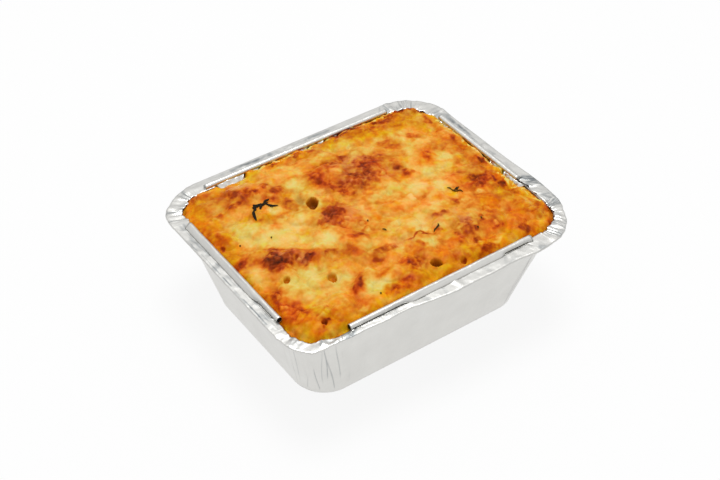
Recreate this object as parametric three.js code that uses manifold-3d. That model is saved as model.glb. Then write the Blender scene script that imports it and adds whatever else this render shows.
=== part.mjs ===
// A portion of baked macaroni in a rectangular foil tray.
// Millimetres, +Z up. X runs along the long side, Y along the short side, and the origin
// is the middle of the underside of the base, on the surface the tray stands on.
import * as THREE from "three";
import { ParametricGeometry } from "three/addons/geometries/ParametricGeometry.js";
import { mergeVertices } from "three/addons/utils/BufferGeometryUtils.js";
import Module from "manifold-3d";

// Foil tray, half sizes with corner radius
const RIM = { x: 72, y: 59, r: 21.3 }; // outer fold line of the rim
const RIM_HEIGHT = 47; // fold line above the table
const MOUTH = { x: 66.3, y: 53.3, r: 15.6 }; // outside of the wall just under the flange
const FOOT = { x: 56.2, y: 42.5, r: 15.4 }; // outside of the wall just above the base
const FOOT_HEIGHT = 3; // rounding between base and wall
const FOIL = 0.6; // foil with its small wrinkles filled in
const LIP = 5.05; // width of the lip folded back over the flange, up to the curl
const CORNER_LIPS = [8, 7.3, 5.2, 6.2]; // width of the lip in each corner, where there is no curl
const PLEAT = 0.55; // height of the crimped pleats in the corner lips
const FLUTE = 0.22; // depth of the upright creases in the corners of the wall
const CORNER_STEPS = 12; // facets in each corner
const BULGE = 0.65; // share of a bulge of the fold line that the wall below it follows

// Rolled curl along the free edge of the lip, one hollow length on each straight side
const CURL_RADIUS = 1.35;
const CURL_BORE = 0.85;
const CURL_INSET = 6.1; // its axis, inwards from the fold line
const CURL_RISE = 1.2; // its axis, above the fold line
const CURL_FACETS = 18;
const CURL_FRONT = [-46, 45]; // where it starts and ends along each side
const CURL_BACK = [-48, 48];
const CURL_LEFT = [-34, 35];
const CURL_RIGHT = [-20, 35];

// Filling
const FILL_GAP = 0.5; // clearance between the filling and the wall
const FILL_BASE = 1; // underside of the filling
const FILL_EDGE = 45.8; // surface of the filling at the wall
const FILL_DOME = 2.8; // rise of the dome over the middle
const GRID_X = 50; // facets of the surface along X and Y
const GRID_Y = 42;
const ELBOW_WIDTH = 8.4; // cooked macaroni elbows that show through the cheese
const ELBOW_LENGTH = 16;
const ELBOW_PITCH = 11.5;

const wasm = await Module();
wasm.setup();

// ---------- shared helpers ----------

// A closed geometry as a solid, and a solid as a geometry.
function solidFrom(geometry) {
  const bare = geometry.clone();
  bare.deleteAttribute("normal");
  bare.deleteAttribute("uv");
  const merged = mergeVertices(bare, 1e-3);
  return new wasm.Manifold(new wasm.Mesh({
    numProp: 3,
    vertProperties: merged.attributes.position.array,
    triVerts: new Uint32Array(merged.index.array),
    tolerance: 0.01,
  }));
}

function geometryFrom(solid) {
  const mesh = solid.getMesh();
  const geometry = new THREE.BufferGeometry();
  geometry.setAttribute("position", new THREE.BufferAttribute(mesh.vertProperties, 3));
  geometry.setIndex(new THREE.BufferAttribute(mesh.triVerts, 1));
  geometry.computeVertexNormals();
  return geometry;
}

// Repeatable random numbers from 0 to 1.
function randomFrom(seed) {
  let state = seed;
  return () => (state = (state * 16807) % 2147483647) / 2147483647;
}

// 0 below a, 1 above b, smooth between.
const ramp = (a, b, t) => THREE.MathUtils.smoothstep(t, a, b);
const bell = (distance, width) => Math.exp(-((distance / width) ** 2));

// A rounded rectangle between two others, with w from 0 to 1.
const between = (a, b, w) => ({
  x: a.x + (b.x - a.x) * w,
  y: a.y + (b.y - a.y) * w,
  r: a.r + (b.r - a.r) * w,
});
const inset = (outline, by) => between(outline,
  { x: outline.x - 1, y: outline.y - 1, r: outline.r - 1 }, by);

// ---------- stations round the tray ----------

// Each station is a place round the rim: a step of a corner arc, or a point of a straight
// side. The side stations crowd at the two ends of the curl, where the lip steps in.
const CORNERS = [[1, 1], [-1, 1], [-1, -1], [1, -1]];
const SIDES = [
  { axis: "x", curl: [CURL_BACK[1], CURL_BACK[0]] },
  { axis: "y", curl: [CURL_LEFT[1], CURL_LEFT[0]] },
  { axis: "x", curl: CURL_FRONT },
  { axis: "y", curl: CURL_RIGHT },
];

function makeStations() {
  const stations = [];
  CORNERS.forEach(([sx, sy], corner) => {
    for (let k = 0; k <= CORNER_STEPS; k++) {
      const turn = k / CORNER_STEPS;
      const angle = (corner + turn) * Math.PI / 2;
      const pleat = k % 2 ? 1 : -1;
      stations.push({ sx, sy, angle, turn, pleat, lip: CORNER_LIPS[corner], inCorner: 1 });
    }
    const { axis, curl: [from, to] } = SIDES[corner];
    const sense = Math.sign(to - from);
    const step = (to - from - sense * 0.8) / 6;
    const places = [from - sense * 0.4, from + sense * 0.4];
    for (let k = 1; k < 6; k++) places.push(from + sense * 0.4 + step * k);
    places.push(to - sense * 0.4, to + sense * 0.4);
    places.forEach((place, k) => {
      const endLip = k === 0 ? CORNER_LIPS[corner] : CORNER_LIPS[(corner + 1) % 4];
      const atEnd = k === 0 || k === places.length - 1;
      stations.push({
        sx, sy, angle: (corner + 1) * Math.PI / 2, along: axis, place, turn: 0,
        pleat: 0, lip: atEnd ? endLip : LIP, inCorner: 0,
      });
    });
  });
  return stations;
}

// The point of a rounded rectangle at a station.
function pointOn(outline, station) {
  const x = station.sx * (outline.x - outline.r) + outline.r * Math.cos(station.angle);
  const y = station.sy * (outline.y - outline.r) + outline.r * Math.sin(station.angle);
  if (station.along === "x") return [station.place * outline.x / RIM.x, y];
  if (station.along === "y") return [x, station.place * outline.y / RIM.y];
  return [x, y];
}

// Dents and bulges that handling has left in the fold line: [x, y, half width, push out].
const DENTS = [
  [-71, -50, 5, 1.7], [-66, -57, 4.5, 2.9], [-54, -58, 7, -1.8], [-40, -59, 10, -1.9],
  [-22, -59, 9, -1.7], [2, -60, 8, 1], [20, -60, 12, 1.1], [44, -60, 9, 1.8],
  [57, -58, 5, 0.4], [68, -47, 6, -1.2], [72, -24, 13, 1.1], [71, 30, 12, -0.4],
  [65, 53, 6, -0.5], [-59, 56, 7, -0.6], [-70, 46, 5, 0.7],
];

const pushAt = (x, y) => DENTS.reduce(
  (sum, [dx, dy, width, push]) => sum + push * bell(Math.hypot(x - dx, y - dy), width), 0);

// ---------- foil tray ----------

// The tray in section, from the middle of the underside out to the fold and back inside:
// [outline, height, share of the push, share of the bulge, share of the creases].
function traySection(station) {
  const rise = RIM_HEIGHT - FOOT_HEIGHT - 1;
  const wall = (height, by) => inset(between(FOOT, MOUTH, (height - FOOT_HEIGHT) / rise), by);
  const { pleat, inCorner } = station;
  const lip = station.lip + inCorner * pleat * 0.45;
  const lift = inCorner * (0.35 + pleat * PLEAT);
  const top = RIM_HEIGHT + 0.75;
  const under = RIM_HEIGHT + 0.2;
  const middle = { x: 0, y: 0, r: 0 };
  return [
    [middle, 0, 0, 0, 0],
    [inset(FOOT, 3.2), 0, 0, 0, 0],
    [inset(FOOT, 1.1), 0.9, 0, 0, 0],
    [FOOT, FOOT_HEIGHT, 0, 0, 0.1],
    [wall(24, 0), 24, 0, 0.4 * BULGE, 0.6],
    [wall(RIM_HEIGHT - 1.6, 0), RIM_HEIGHT - 1.6, 0, BULGE, 1],
    [inset(RIM, 5.2), RIM_HEIGHT - 0.9, 0.1, BULGE, 0.8],
    [inset(RIM, 0.4), RIM_HEIGHT - 0.8, 0.95, 0, 0],
    [RIM, RIM_HEIGHT - 0.2, 1, 0, 0],
    [RIM, RIM_HEIGHT + 0.3, 1, 0, 0],
    [inset(RIM, 0.5), RIM_HEIGHT + 0.65, 0.95, 0, 0],
    [inset(RIM, 2.6), top + lift * 0.5, 0.6, 0.3 * inCorner, 0],
    [inset(RIM, 4.2), top + 0.1 + lift * 0.7, 0, 0.8 * inCorner, 0],
    [inset(RIM, lip), top + 0.15 + lift, 0, 0.8 * inCorner, 0],
    [inset(RIM, lip), under + 0.2 + lift, 0, 0.8 * inCorner, 0],
    [inset(RIM, 4.2), under + 0.15 + lift * 0.7, 0, 0.8 * inCorner, 0],
    [inset(RIM, 2.6), under + lift * 0.5, 0.6, 0.3 * inCorner, 0],
    [inset(RIM, 1), RIM_HEIGHT + 0.1, 0.9, 0, 0],
    [inset(RIM, 1), RIM_HEIGHT - 0.2, 0.9, 0, 0],
    [inset(RIM, 5.2), RIM_HEIGHT - 0.3, 0.1, BULGE, 0],
    [wall(RIM_HEIGHT - 1.2, FOIL), RIM_HEIGHT - 1.2, 0, BULGE, 1],
    [wall(24, FOIL), 24, 0, 0.4 * BULGE, 0.6],
    [wall(FOOT_HEIGHT + 0.2, FOIL), FOOT_HEIGHT + 0.2, 0, 0, 0.1],
    [inset(FOOT, 1.7), 1.4, 0, 0, 0],
    [inset(FOOT, 3.6), FOIL, 0, 0, 0],
    [middle, FOIL, 0, 0, 0],
  ];
}

function trayPoints() {
  return makeStations().map((station) => {
    const [rimX, rimY] = pointOn(RIM, station);
    const push = pushAt(rimX, rimY);
    const bulge = Math.max(0, push);
    const crease = FLUTE * station.inCorner * Math.cos(station.turn * Math.PI * 6);
    const outX = Math.cos(station.angle);
    const outY = Math.sin(station.angle);
    return traySection(station).map(([outline, height, pushed, bulged, creased]) => {
      const [x, y] = pointOn(outline, station);
      const out = push * pushed + bulge * bulged + crease * creased;
      return new THREE.Vector3(x + out * outX, y + out * outY, height);
    });
  });
}

function shellSolid() {
  const points = trayPoints();
  const round = points.length;
  const along = points[0].length - 1;
  return solidFrom(new ParametricGeometry((u, v, target) => {
    target.copy(points[Math.round(u * round) % round][Math.round(v * along)]);
  }, round, along));
}

// One length of the rolled curl: a hollow roll, open at both ends.
function curlSolid(axis, [from, to], across) {
  const ring = new THREE.Shape().absarc(0, 0, CURL_RADIUS, 0, Math.PI * 2, false);
  ring.holes.push(new THREE.Path().absarc(0, 0, CURL_BORE, 0, Math.PI * 2, true));
  const roll = new THREE.ExtrudeGeometry(ring, {
    depth: to - from, bevelEnabled: false, curveSegments: CURL_FACETS,
  });
  roll.translate(0, 0, from);
  const height = RIM_HEIGHT + CURL_RISE;
  if (axis === "x") roll.rotateY(Math.PI / 2).translate(0, across, height);
  else roll.rotateX(-Math.PI / 2).translate(across, 0, height);
  return solidFrom(roll);
}

function makeTray() {
  const offX = RIM.x - CURL_INSET;
  const offY = RIM.y - CURL_INSET;
  const solid = [
    curlSolid("x", CURL_FRONT, -offY),
    curlSolid("x", CURL_BACK, offY),
    curlSolid("y", CURL_LEFT, -offX),
    curlSolid("y", CURL_RIGHT, offX),
  ].reduce((whole, curl) => whole.add(curl), shellSolid());
  const foil = new THREE.MeshStandardMaterial({
    color: 0xc9cacb, roughness: 0.38, metalness: 0.95,
  });
  const tray = new THREE.Mesh(geometryFrom(solid), foil);
  tray.name = "foil_tray";
  return tray;
}

// ---------- baked filling ----------

const WALL_RISE = RIM_HEIGHT - FOOT_HEIGHT - 1;
const fillOutline = (height) =>
  inset(between(FOOT, MOUTH, (height - FOOT_HEIGHT) / WALL_RISE), FOIL + FILL_GAP);
const SURFACE = fillOutline(FILL_EDGE);

// Distance inwards from the edge of the surface.
function edgeDistance(x, y) {
  const qx = Math.abs(x) - SURFACE.x + SURFACE.r;
  const qy = Math.abs(y) - SURFACE.y + SURFACE.r;
  const outside = Math.hypot(Math.max(qx, 0), Math.max(qy, 0));
  return SURFACE.r - outside - Math.min(Math.max(qx, qy), 0);
}

// A point of the outline at a height, moved out where the wall of the tray bulges.
function fillEdge(outline, height, s, t) {
  const [rimX, rimY] = edgePoint(RIM, s, t);
  const bulge = Math.max(0, pushAt(rimX, rimY)) * (BULGE - 0.1) * height / RIM_HEIGHT;
  const [x, y] = edgePoint(outline, s, t);
  const away = bulge / Math.max(1, Math.hypot(rimX - x, rimY - y));
  return [x + (rimX - x) * away, y + (rimY - y) * away];
}

// Macaroni elbows just under the cheese: each is a bent line with a lift.
function layElbows() {
  const random = randomFrom(29);
  const columns = Math.ceil(2 * SURFACE.x / ELBOW_PITCH);
  const rows = Math.ceil(2 * SURFACE.y / ELBOW_PITCH);
  const elbows = [];
  for (let row = 0; row < rows; row++) {
    for (let column = 0; column < columns; column++) {
      const x = (column + 0.5 - columns / 2 + 0.7 * (random() - 0.5)) * ELBOW_PITCH;
      const y = (row + 0.5 - rows / 2 + 0.7 * (random() - 0.5)) * ELBOW_PITCH;
      const heading = random() * Math.PI;
      const bend = (random() < 0.5 ? -1 : 1) * (0.25 + 0.4 * random());
      const lift = 0.9 + 1.3 * random();
      const line = [-0.5, -0.17, 0.17, 0.5].map((s) => {
        const run = s * (ELBOW_LENGTH - ELBOW_WIDTH);
        const side = bend * (0.25 - s * s) * ELBOW_LENGTH;
        return new THREE.Vector2(x, y).add(
          new THREE.Vector2(run, side).rotateAround(new THREE.Vector2(), heading));
      });
      elbows.push({ line, lift });
    }
  }
  return elbows;
}

function distanceToLine(x, y, line) {
  let nearest = Infinity;
  for (let k = 1; k < line.length; k++) {
    const a = line[k - 1];
    const b = line[k];
    const dx = b.x - a.x;
    const dy = b.y - a.y;
    const t = THREE.MathUtils.clamp(((x - a.x) * dx + (y - a.y) * dy) / (dx * dx + dy * dy), 0, 1);
    nearest = Math.min(nearest, Math.hypot(x - a.x - t * dx, y - a.y - t * dy));
  }
  return nearest;
}

const ELBOWS = layElbows();

// Blistered mounds and sunken places of the baked surface: [x, y, half width, height].
const MOUNDS = [
  [-5, 28, 9, 1.3], [11, 21, 11, 1.5], [-14, 4.5, 6, 1.2], [-50, -6.5, 7, 1.2],
  [-36, -13, 6, 0.9], [-22, -17, 6, 0.8], [-39, 33, 11, 1.2], [3, -37, 6, 0.8],
  [26, -34, 7, 1.1], [22, -20, 5, 0.8], [49, -12, 5, 1], [43, 13, 5, 0.8],
  [-12, -45, 7, 0.8], [25, -47, 6, 0.7], [53, 39, 6, 0.8], [-50, -41, 6, 0.8],
  [9, -30, 5, 0.9], [-36, 4, 9, -1.2], [-34, -27, 9, -0.6], [-36, 49, 7, -2.2],
  [62, -20, 6, -2.2],
];

// Open ends of elbows: [x, y, bore radius, heading of the bore, tilt from upright].
const OPEN_ENDS = [
  [-18, 15.2, 2.7, 5, 0.75], [-52, -18.2, 1.6, 4.1, 0.6], [-36.7, -27.8, 2.5, 4.4, 0.65],
  [2.4, -44.7, 2.5, 3.8, 0.6], [-53, -46.4, 1.2, 4.3, 0.5], [13.2, -48.8, 1.2, 4, 0.6],
];

// Height of the surface of the filling.
function surfaceHeight(x, y) {
  const e = edgeDistance(x, y);
  const shelf = FILL_EDGE + 0.7 * ramp(0, 1.6, e) + 1.7 * ramp(1.2, 5.5, e);
  const dome = FILL_DOME * (1 - (x / SURFACE.x) ** 2) * (1 - (y / SURFACE.y) ** 2);
  let elbow = 0;
  for (const { line, lift } of ELBOWS) {
    const d = distanceToLine(x, y, line) / (ELBOW_WIDTH / 2);
    if (d < 1) elbow = Math.max(elbow, lift * Math.sqrt(1 - d * d));
  }
  let mound = 0;
  for (const [mx, my, width, height] of MOUNDS) {
    mound += height * bell(Math.hypot(x - mx, y - my), width);
  }
  for (const [ox, oy, bore] of OPEN_ENDS) {
    mound += 0.9 * bell(Math.hypot(x - ox, y - oy) - bore - 0.8, 1.6);
  }
  return shelf + ramp(0, 6, e) * dome + ramp(1.6, 5, e) * (elbow * 0.85 + mound);
}

// The point of an outline that faces the point (s, t) of the edge of a square.
function edgePoint(outline, s, t) {
  const flat = Math.abs(s) > Math.abs(t);
  const [far, near] = flat ? [outline.x, outline.y] : [outline.y, outline.x];
  const q = flat ? t : s;
  const straight = near - outline.r;
  const run = Math.abs(q) * (straight + outline.r * Math.PI / 4);
  const turn = Math.max(0, run - straight) / outline.r;
  const side = Math.sign(q) * (Math.min(run, straight) + outline.r * Math.sin(turn));
  const reach = far - outline.r + outline.r * Math.cos(turn);
  return flat ? [Math.sign(s) * reach, side] : [side, Math.sign(t) * reach];
}

// The filling: a bumpy top laid out as a grid of rings, tapering sides and a flat underside.
function fillGeometry() {
  const points = [];
  const faces = [];
  const grid = (i, j) => j * (GRID_X + 1) + i;
  for (let j = 0; j <= GRID_Y; j++) {
    for (let i = 0; i <= GRID_X; i++) {
      const s = 2 * i / GRID_X - 1;
      const t = 2 * j / GRID_Y - 1;
      const m = Math.max(Math.abs(s), Math.abs(t), 1e-9);
      const [ex, ey] = fillEdge(SURFACE, FILL_EDGE, s / m, t / m);
      points.push(ex * m, ey * m, m > 1 - 1e-9 ? FILL_EDGE : surfaceHeight(ex * m, ey * m));
    }
  }
  for (let j = 0; j < GRID_Y; j++) {
    for (let i = 0; i < GRID_X; i++) {
      const [a, b, c, d] = [grid(i, j), grid(i + 1, j), grid(i + 1, j + 1), grid(i, j + 1)];
      if ((i + j) % 2) faces.push(a, b, c, a, c, d);
      else faces.push(a, b, d, b, c, d);
    }
  }
  const rim = [];
  for (let i = 0; i < GRID_X; i++) rim.push([i, 0]);
  for (let j = 0; j < GRID_Y; j++) rim.push([GRID_X, j]);
  for (let i = GRID_X; i > 0; i--) rim.push([i, GRID_Y]);
  for (let j = GRID_Y; j > 0; j--) rim.push([0, j]);
  let upper = rim.map(([i, j]) => grid(i, j));
  const levels = [
    [fillOutline(FOOT_HEIGHT + 1), FOOT_HEIGHT + 1],
    [inset(fillOutline(FOOT_HEIGHT), 3), FILL_BASE],
  ];
  for (const [outline, height] of levels) {
    const lower = rim.map(([i, j]) => {
      const [x, y] = fillEdge(outline, height, 2 * i / GRID_X - 1, 2 * j / GRID_Y - 1);
      return points.push(x, y, height) / 3 - 1;
    });
    lower.forEach((p, k) => {
      const next = (k + 1) % lower.length;
      faces.push(upper[k], p, upper[next], upper[next], p, lower[next]);
    });
    upper = lower;
  }
  const middle = points.push(0, 0, FILL_BASE) / 3 - 1;
  upper.forEach((p, k) => faces.push(p, middle, upper[(k + 1) % upper.length]));
  const geometry = new THREE.BufferGeometry();
  geometry.setAttribute("position", new THREE.Float32BufferAttribute(points, 3));
  geometry.setIndex(faces);
  return geometry;
}

// The bore seen at an open end of an elbow.
function boreSolid([x, y, bore, heading, tilt]) {
  const drill = new THREE.CylinderGeometry(bore, bore * 0.8, 9, 12);
  drill.rotateX(Math.PI / 2).rotateY(tilt).rotateZ(heading);
  drill.translate(x, y, surfaceHeight(x, y) + 0.4);
  return solidFrom(drill);
}

// Dried herb sprigs baked into the cheese: each leaf is [x, y, length, heading].
const LEAVES = [
  [-35.4, 27.2, 6.5, 2.75], [-39, 26.6, 4, 1.2], [-41.3, 21.4, 6.5, 1.95],
  [-36.7, 25, 3.5, 0.5], [-31.4, 23.8, 4, 2.3], [-31.8, 27.3, 3.5, 0.9],
  [36.3, -10.2, 3.2, 0.2], [38.1, -11.9, 3.6, 2.3], [38.2, -14, 2.8, 2.5],
  [14.2, -28.1, 3, 0.55], [16.1, -27, 3, 0.7], [6.8, -26.9, 5, 3],
];

function leafSolid([x, y, length, heading]) {
  const leaf = new THREE.CapsuleGeometry(0.62, length - 1.2, 2, 6);
  leaf.rotateZ(Math.PI / 2).scale(1, 1, 0.75).rotateZ(heading);
  leaf.translate(x, y, surfaceHeight(x, y) + 0.15);
  return solidFrom(leaf);
}

function makeFilling() {
  let solid = solidFrom(fillGeometry());
  for (const end of OPEN_ENDS) solid = solid.subtract(boreSolid(end));
  for (const leaf of LEAVES) solid = solid.add(leafSolid(leaf));
  const cheese = new THREE.MeshStandardMaterial({
    color: 0xe2a544, roughness: 0.5, metalness: 0,
  });
  const filling = new THREE.Mesh(geometryFrom(solid), cheese);
  filling.name = "pasta_bake";
  return filling;
}

const meal = new THREE.Group();
meal.add(makeTray(), makeFilling());
export default meal;
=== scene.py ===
import bpy
import math
import numpy as np
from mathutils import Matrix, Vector


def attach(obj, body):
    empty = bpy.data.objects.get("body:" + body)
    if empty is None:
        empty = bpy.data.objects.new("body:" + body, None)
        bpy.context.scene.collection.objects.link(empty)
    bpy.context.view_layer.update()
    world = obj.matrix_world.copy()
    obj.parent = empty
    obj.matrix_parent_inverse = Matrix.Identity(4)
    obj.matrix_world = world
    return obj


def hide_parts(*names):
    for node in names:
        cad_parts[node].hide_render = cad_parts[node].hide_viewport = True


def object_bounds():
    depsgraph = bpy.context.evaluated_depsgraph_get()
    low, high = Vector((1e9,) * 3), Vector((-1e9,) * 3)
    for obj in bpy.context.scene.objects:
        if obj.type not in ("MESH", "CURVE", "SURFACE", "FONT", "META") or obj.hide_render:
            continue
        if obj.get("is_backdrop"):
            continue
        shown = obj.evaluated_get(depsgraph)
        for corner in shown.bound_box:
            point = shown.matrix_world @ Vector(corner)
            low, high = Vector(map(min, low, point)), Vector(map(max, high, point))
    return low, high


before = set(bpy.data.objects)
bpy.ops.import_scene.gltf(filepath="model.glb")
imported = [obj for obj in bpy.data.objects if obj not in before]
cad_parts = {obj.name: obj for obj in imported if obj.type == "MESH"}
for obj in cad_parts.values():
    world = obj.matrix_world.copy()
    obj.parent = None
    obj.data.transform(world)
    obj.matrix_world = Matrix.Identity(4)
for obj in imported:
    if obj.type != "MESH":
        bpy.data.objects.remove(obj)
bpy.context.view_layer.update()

# ---------------------------------------------------------------------------
# Foil tray: one blank of soft aluminium foil, pressed over a plug. The wall is
# drawn smooth with crushed corners, the flange is turned back as a flat lip, and
# the lip's free edge is rolled into a curl along each straight side.
# ---------------------------------------------------------------------------
MM = 0.001
RIM = (72.0, 59.0, 21.3)  # outer fold line: half length, half width, corner radius
RIM_HEIGHT = 47.0
MOUTH = (66.3, 53.3, 15.6)  # outside of the wall just under the flange
FOOT = (56.2, 42.5, 15.4)  # and where it meets the bend of the base
FOOT_HEIGHT = 3.0
BASE_BEND = 3.2  # radius of that bend
BASE_HEIGHT = 0.08  # middle of the sheet in the flat base
WALL_TOP = RIM_HEIGHT - 1.7
CORNER_LIPS = (8.0, 7.3, 5.2, 6.2)  # lip width at the corners, anticlockwise from +x +y
CURL_RADIUS = 1.35
CURL_INSET, CURL_HEIGHT = 6.1, 1.2  # its middle, in from the fold line and over the rim
CURL_TURN = (-32, 282)  # degrees: where the roll leaves the lip, and where its edge ends
PRESSED_FROM = 190  # from here on it is pressed down where it is flattened
# The axis that a side runs along, which way it faces, the ends of its curl, and where the
# curl's free edge stands clear of the lip; elsewhere it has been flattened on to it.
SIDES = {
    "front": (0, -1, -46.0, 45.0, (-46, -21), (31, 42)), "back": (0, 1, -48.0, 48.0, (-48, 48)),
    "left": (1, -1, -34.0, 35.0, (-34, -21)), "right": (1, 1, -20.0, 35.0, (16, 35))}
DENTS = (  # x, y, half width and push of the fold line
    (-71, -50, 5, 1.7), (-66, -57, 4.5, 2.9), (-54, -58, 7, -1.8), (-40, -59, 10, -1.9),
    (-22, -59, 9, -1.7), (2, -60, 8, 1), (20, -60, 12, 1.1), (44, -60, 9, 1.8),
    (57, -58, 5, 0.4), (68, -47, 6, -1.2), (72, -24, 13, 1.1), (71, 30, 12, -0.4),
    (65, 53, 6, -0.5), (-59, 56, 7, -0.6), (-70, 46, 5, 0.7))
PLEATS = (1.9, 2.2, 3.8, 1.2)  # mm between crushed folds at the same corners
CRUSH = (0.55, 1.0, 1.15, 0.7)  # and how hard each corner was crushed
LIP_SHADE_PATCHES = (  # painted shade: grey places on the lip where it lies in shadow beside the curls; x, y, half length, half width, depth
    (-23, 57, 14, 0.9, 0.7), (11, 57, 8, 0.9, 0.6), (67.3, 28, 0.9, 7, 0.7),
    (66.5, 17, 1.5, 2, 0.4), (-67.5, 28, 1.6, 6, 0.35), (-66.8, 8, 1, 8, 0.35),
    (-67.2, -16, 1, 7, 0.35), (69.3, 24, 0.7, 6, 1.1), (68, 13, 0.6, 4, 0.9),
    (67.9, -1, 0.5, 6, 0.3), (69, 33, 1, 4, 0.2))
KINKS = (  # small folds across the straight lips: side, place along it and height
    ("back", -1.7, 0.5), ("back", -27, 0.3), ("back", 22, 0.25), ("right", 8, 0.5),
    ("right", 27, 0.25), ("left", 14, 0.12), ("left", -9, 0.12), ("front", 4, 0.3),
    ("front", -19, 0.2))
KINK_WIDTH = 1.2
STREAKS = {"back": 0.10, "right": 0.10, "left": 0.28}  # how dark a lip's painted grey streaks are, painted reflections of its fine wrinkles
CREASE_PITCH, CREASE_WIDTH = 1.9, 0.33  # upright creases of the crushed corners
BULGE = 0.65  # share of an outward push that the wall below follows
SHEET = 0.14  # foil thickness, with the fine wrinkles in it
CORNER_STEPS, SIDE_STEP = 110, 0.9


def lattice(x, y, size, seed):
    """Smooth random relief from -1 to 1 with humps of about the given size."""
    table = np.random.default_rng(seed).uniform(-1, 1, (256, 256))
    u, v = np.asarray(x, float) / size + 97.3, np.asarray(y, float) / size + 41.7
    i, j = np.floor(u).astype(int), np.floor(v).astype(int)
    a, b = u - i, v - j
    a, b = a * a * (3 - 2 * a), b * b * (3 - 2 * b)

    def corner(di, dj):
        return table[(i + di) % 256, (j + dj) % 256]

    return 1.6 * ((corner(0, 0) * (1 - a) + corner(1, 0) * a) * (1 - b)
                  + (corner(0, 1) * (1 - a) + corner(1, 1) * a) * b)


def crumple(x, y, size, seed):
    """Relief of flat facets between sharp folds, from about -1 to 1."""
    rng = np.random.default_rng(seed)
    total = 0
    for k in range(5):
        heading = rng.uniform(0, math.pi)
        length, shift = size * rng.uniform(0.7, 1.5), rng.uniform()
        u = (x * math.cos(heading) + y * math.sin(heading)) / length + shift
        u = u + 0.45 * lattice(x, y, 1.6 * size, seed + k + 1)
        total = total + 2 * np.abs((u % 2) - 1) - 1
    return total / 2.6


def ramp(a, b, t):
    """A smooth rise from 0 at a to 1 at b."""
    t = np.clip((np.asarray(t, float) - a) / (b - a), 0, 1)
    return t * t * (3 - 2 * t)


def bumps(x, y, places):
    """Sum of soft round bumps, each with its x, y, half width and height."""
    return sum(h * np.exp(-((x - a) ** 2 + (y - b) ** 2) / w ** 2) for a, b, w, h in places)


def inset(outline, by):
    """A rounded rectangle's half length, half width and corner radius, drawn in."""
    return tuple(v - by for v in outline)


def wall_outline(height):
    w = (height - FOOT_HEIGHT) / (RIM_HEIGHT - FOOT_HEIGHT - 1)
    return tuple(a + (b - a) * w for a, b in zip(FOOT, MOUTH))


def rim_stations():
    """Places round the rim, anticlockwise: corner signs, outward angle, corner, side, place."""
    rows = []
    for corner, (sx, sy) in enumerate(((1, 1), (-1, 1), (-1, -1), (1, -1))):
        for k in range(CORNER_STEPS + 1):
            rows.append((sx, sy, (corner + k / CORNER_STEPS) * math.pi / 2, corner, 0, 0.0))
        along_x = corner in (0, 2)
        straight = RIM[0 if along_x else 1] - RIM[2]
        start = straight if corner in (0, 1) else -straight
        steps = int(round(2 * straight / SIDE_STEP))
        for k in range(1, steps):
            rows.append((sx, sy, (corner + 1) * math.pi / 2, corner, 1 if along_x else 2,
                         start - 2 * start * k / steps))
    return np.array(rows).T


SIGN_X, SIGN_Y, ANGLE, CORNER, SIDE, PLACE = rim_stations()
OUT_X, OUT_Y = np.cos(ANGLE), np.sin(ANGLE)


def ring(outline):
    """The points of a rounded rectangle at every station; its sizes may be arrays."""
    x = SIGN_X * (outline[0] - outline[2]) + outline[2] * OUT_X
    y = SIGN_Y * (outline[1] - outline[2]) + outline[2] * OUT_Y
    return (np.where(SIDE == 1, PLACE * outline[0] / RIM[0], x),
            np.where(SIDE == 2, PLACE * outline[1] / RIM[1], y))


RIM_X, RIM_Y = ring(RIM)
PUSH = bumps(RIM_X, RIM_Y, DENTS)  # how far handling has pushed the fold line out or in
SWELL = np.maximum(PUSH, 0)
ROUND = np.cumsum(np.hypot(np.diff(RIM_X, append=RIM_X[0]), np.diff(RIM_Y, append=RIM_Y[0])))


def on_side(name):
    """Which stations are on a straight side, and each station's place along that side."""
    along, facing = SIDES[name][:2]
    outward, position = ((OUT_Y, RIM_X), (OUT_X, RIM_Y))[along]
    return outward * facing > 0.9999, position


CRUSHED = np.ones(len(PLACE))  # 1 beyond the ends of the curls, 0 along them
for name, (along, facing, low, high, *clear) in SIDES.items():
    here, position = on_side(name)
    beyond = np.maximum(low - position, position - high)
    CRUSHED = np.where(here, ramp(-0.4, 0.8, beyond), CRUSHED)
KINK = 0
for name, at, high in KINKS:
    here, position = on_side(name)
    KINK = KINK + high * here * np.exp(-((position - at) / KINK_WIDTH) ** 2)
STREAKED = sum(depth * on_side(name)[0] for name, depth in STREAKS.items())

# The lip's width runs from one corner's to the next, half-way along each side.
straight = np.where(SIDE == 1, RIM[0] - RIM[2], RIM[1] - RIM[2])
along_side = 0.5 + np.where(np.isin(CORNER, (0, 1)), -1, 1) * PLACE / (2 * straight)
NEAR_CORNER = np.where((SIDE > 0) & (along_side > 0.5), CORNER + 1, CORNER).astype(int) % 4
LIP_WIDTH = np.array(CORNER_LIPS)[NEAR_CORNER]


def upright_creases(height, seed):
    """Thin sharp creases that run up the crushed corners, from 0 to 1."""
    rng = np.random.default_rng(seed)
    total = np.zeros_like(ROUND)
    for at in np.arange(0, ROUND[-1], CREASE_PITCH):
        at = at + rng.uniform(-0.9, 0.9) + 0.5 * math.sin(height / 7 + at)
        at = at + rng.uniform(-0.10, 0.10) * (height - 25)
        deep = rng.uniform(0.2, 1) * (rng.uniform() < 0.75)
        low, high = sorted(rng.uniform(-5, 50, 2))
        deep *= ramp(low - 4, low + 4, height) * (1 - ramp(high, high + 8, height))
        total = np.maximum(total, deep * np.exp(-((ROUND - at) / CREASE_WIDTH) ** 2))
    return total


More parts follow.
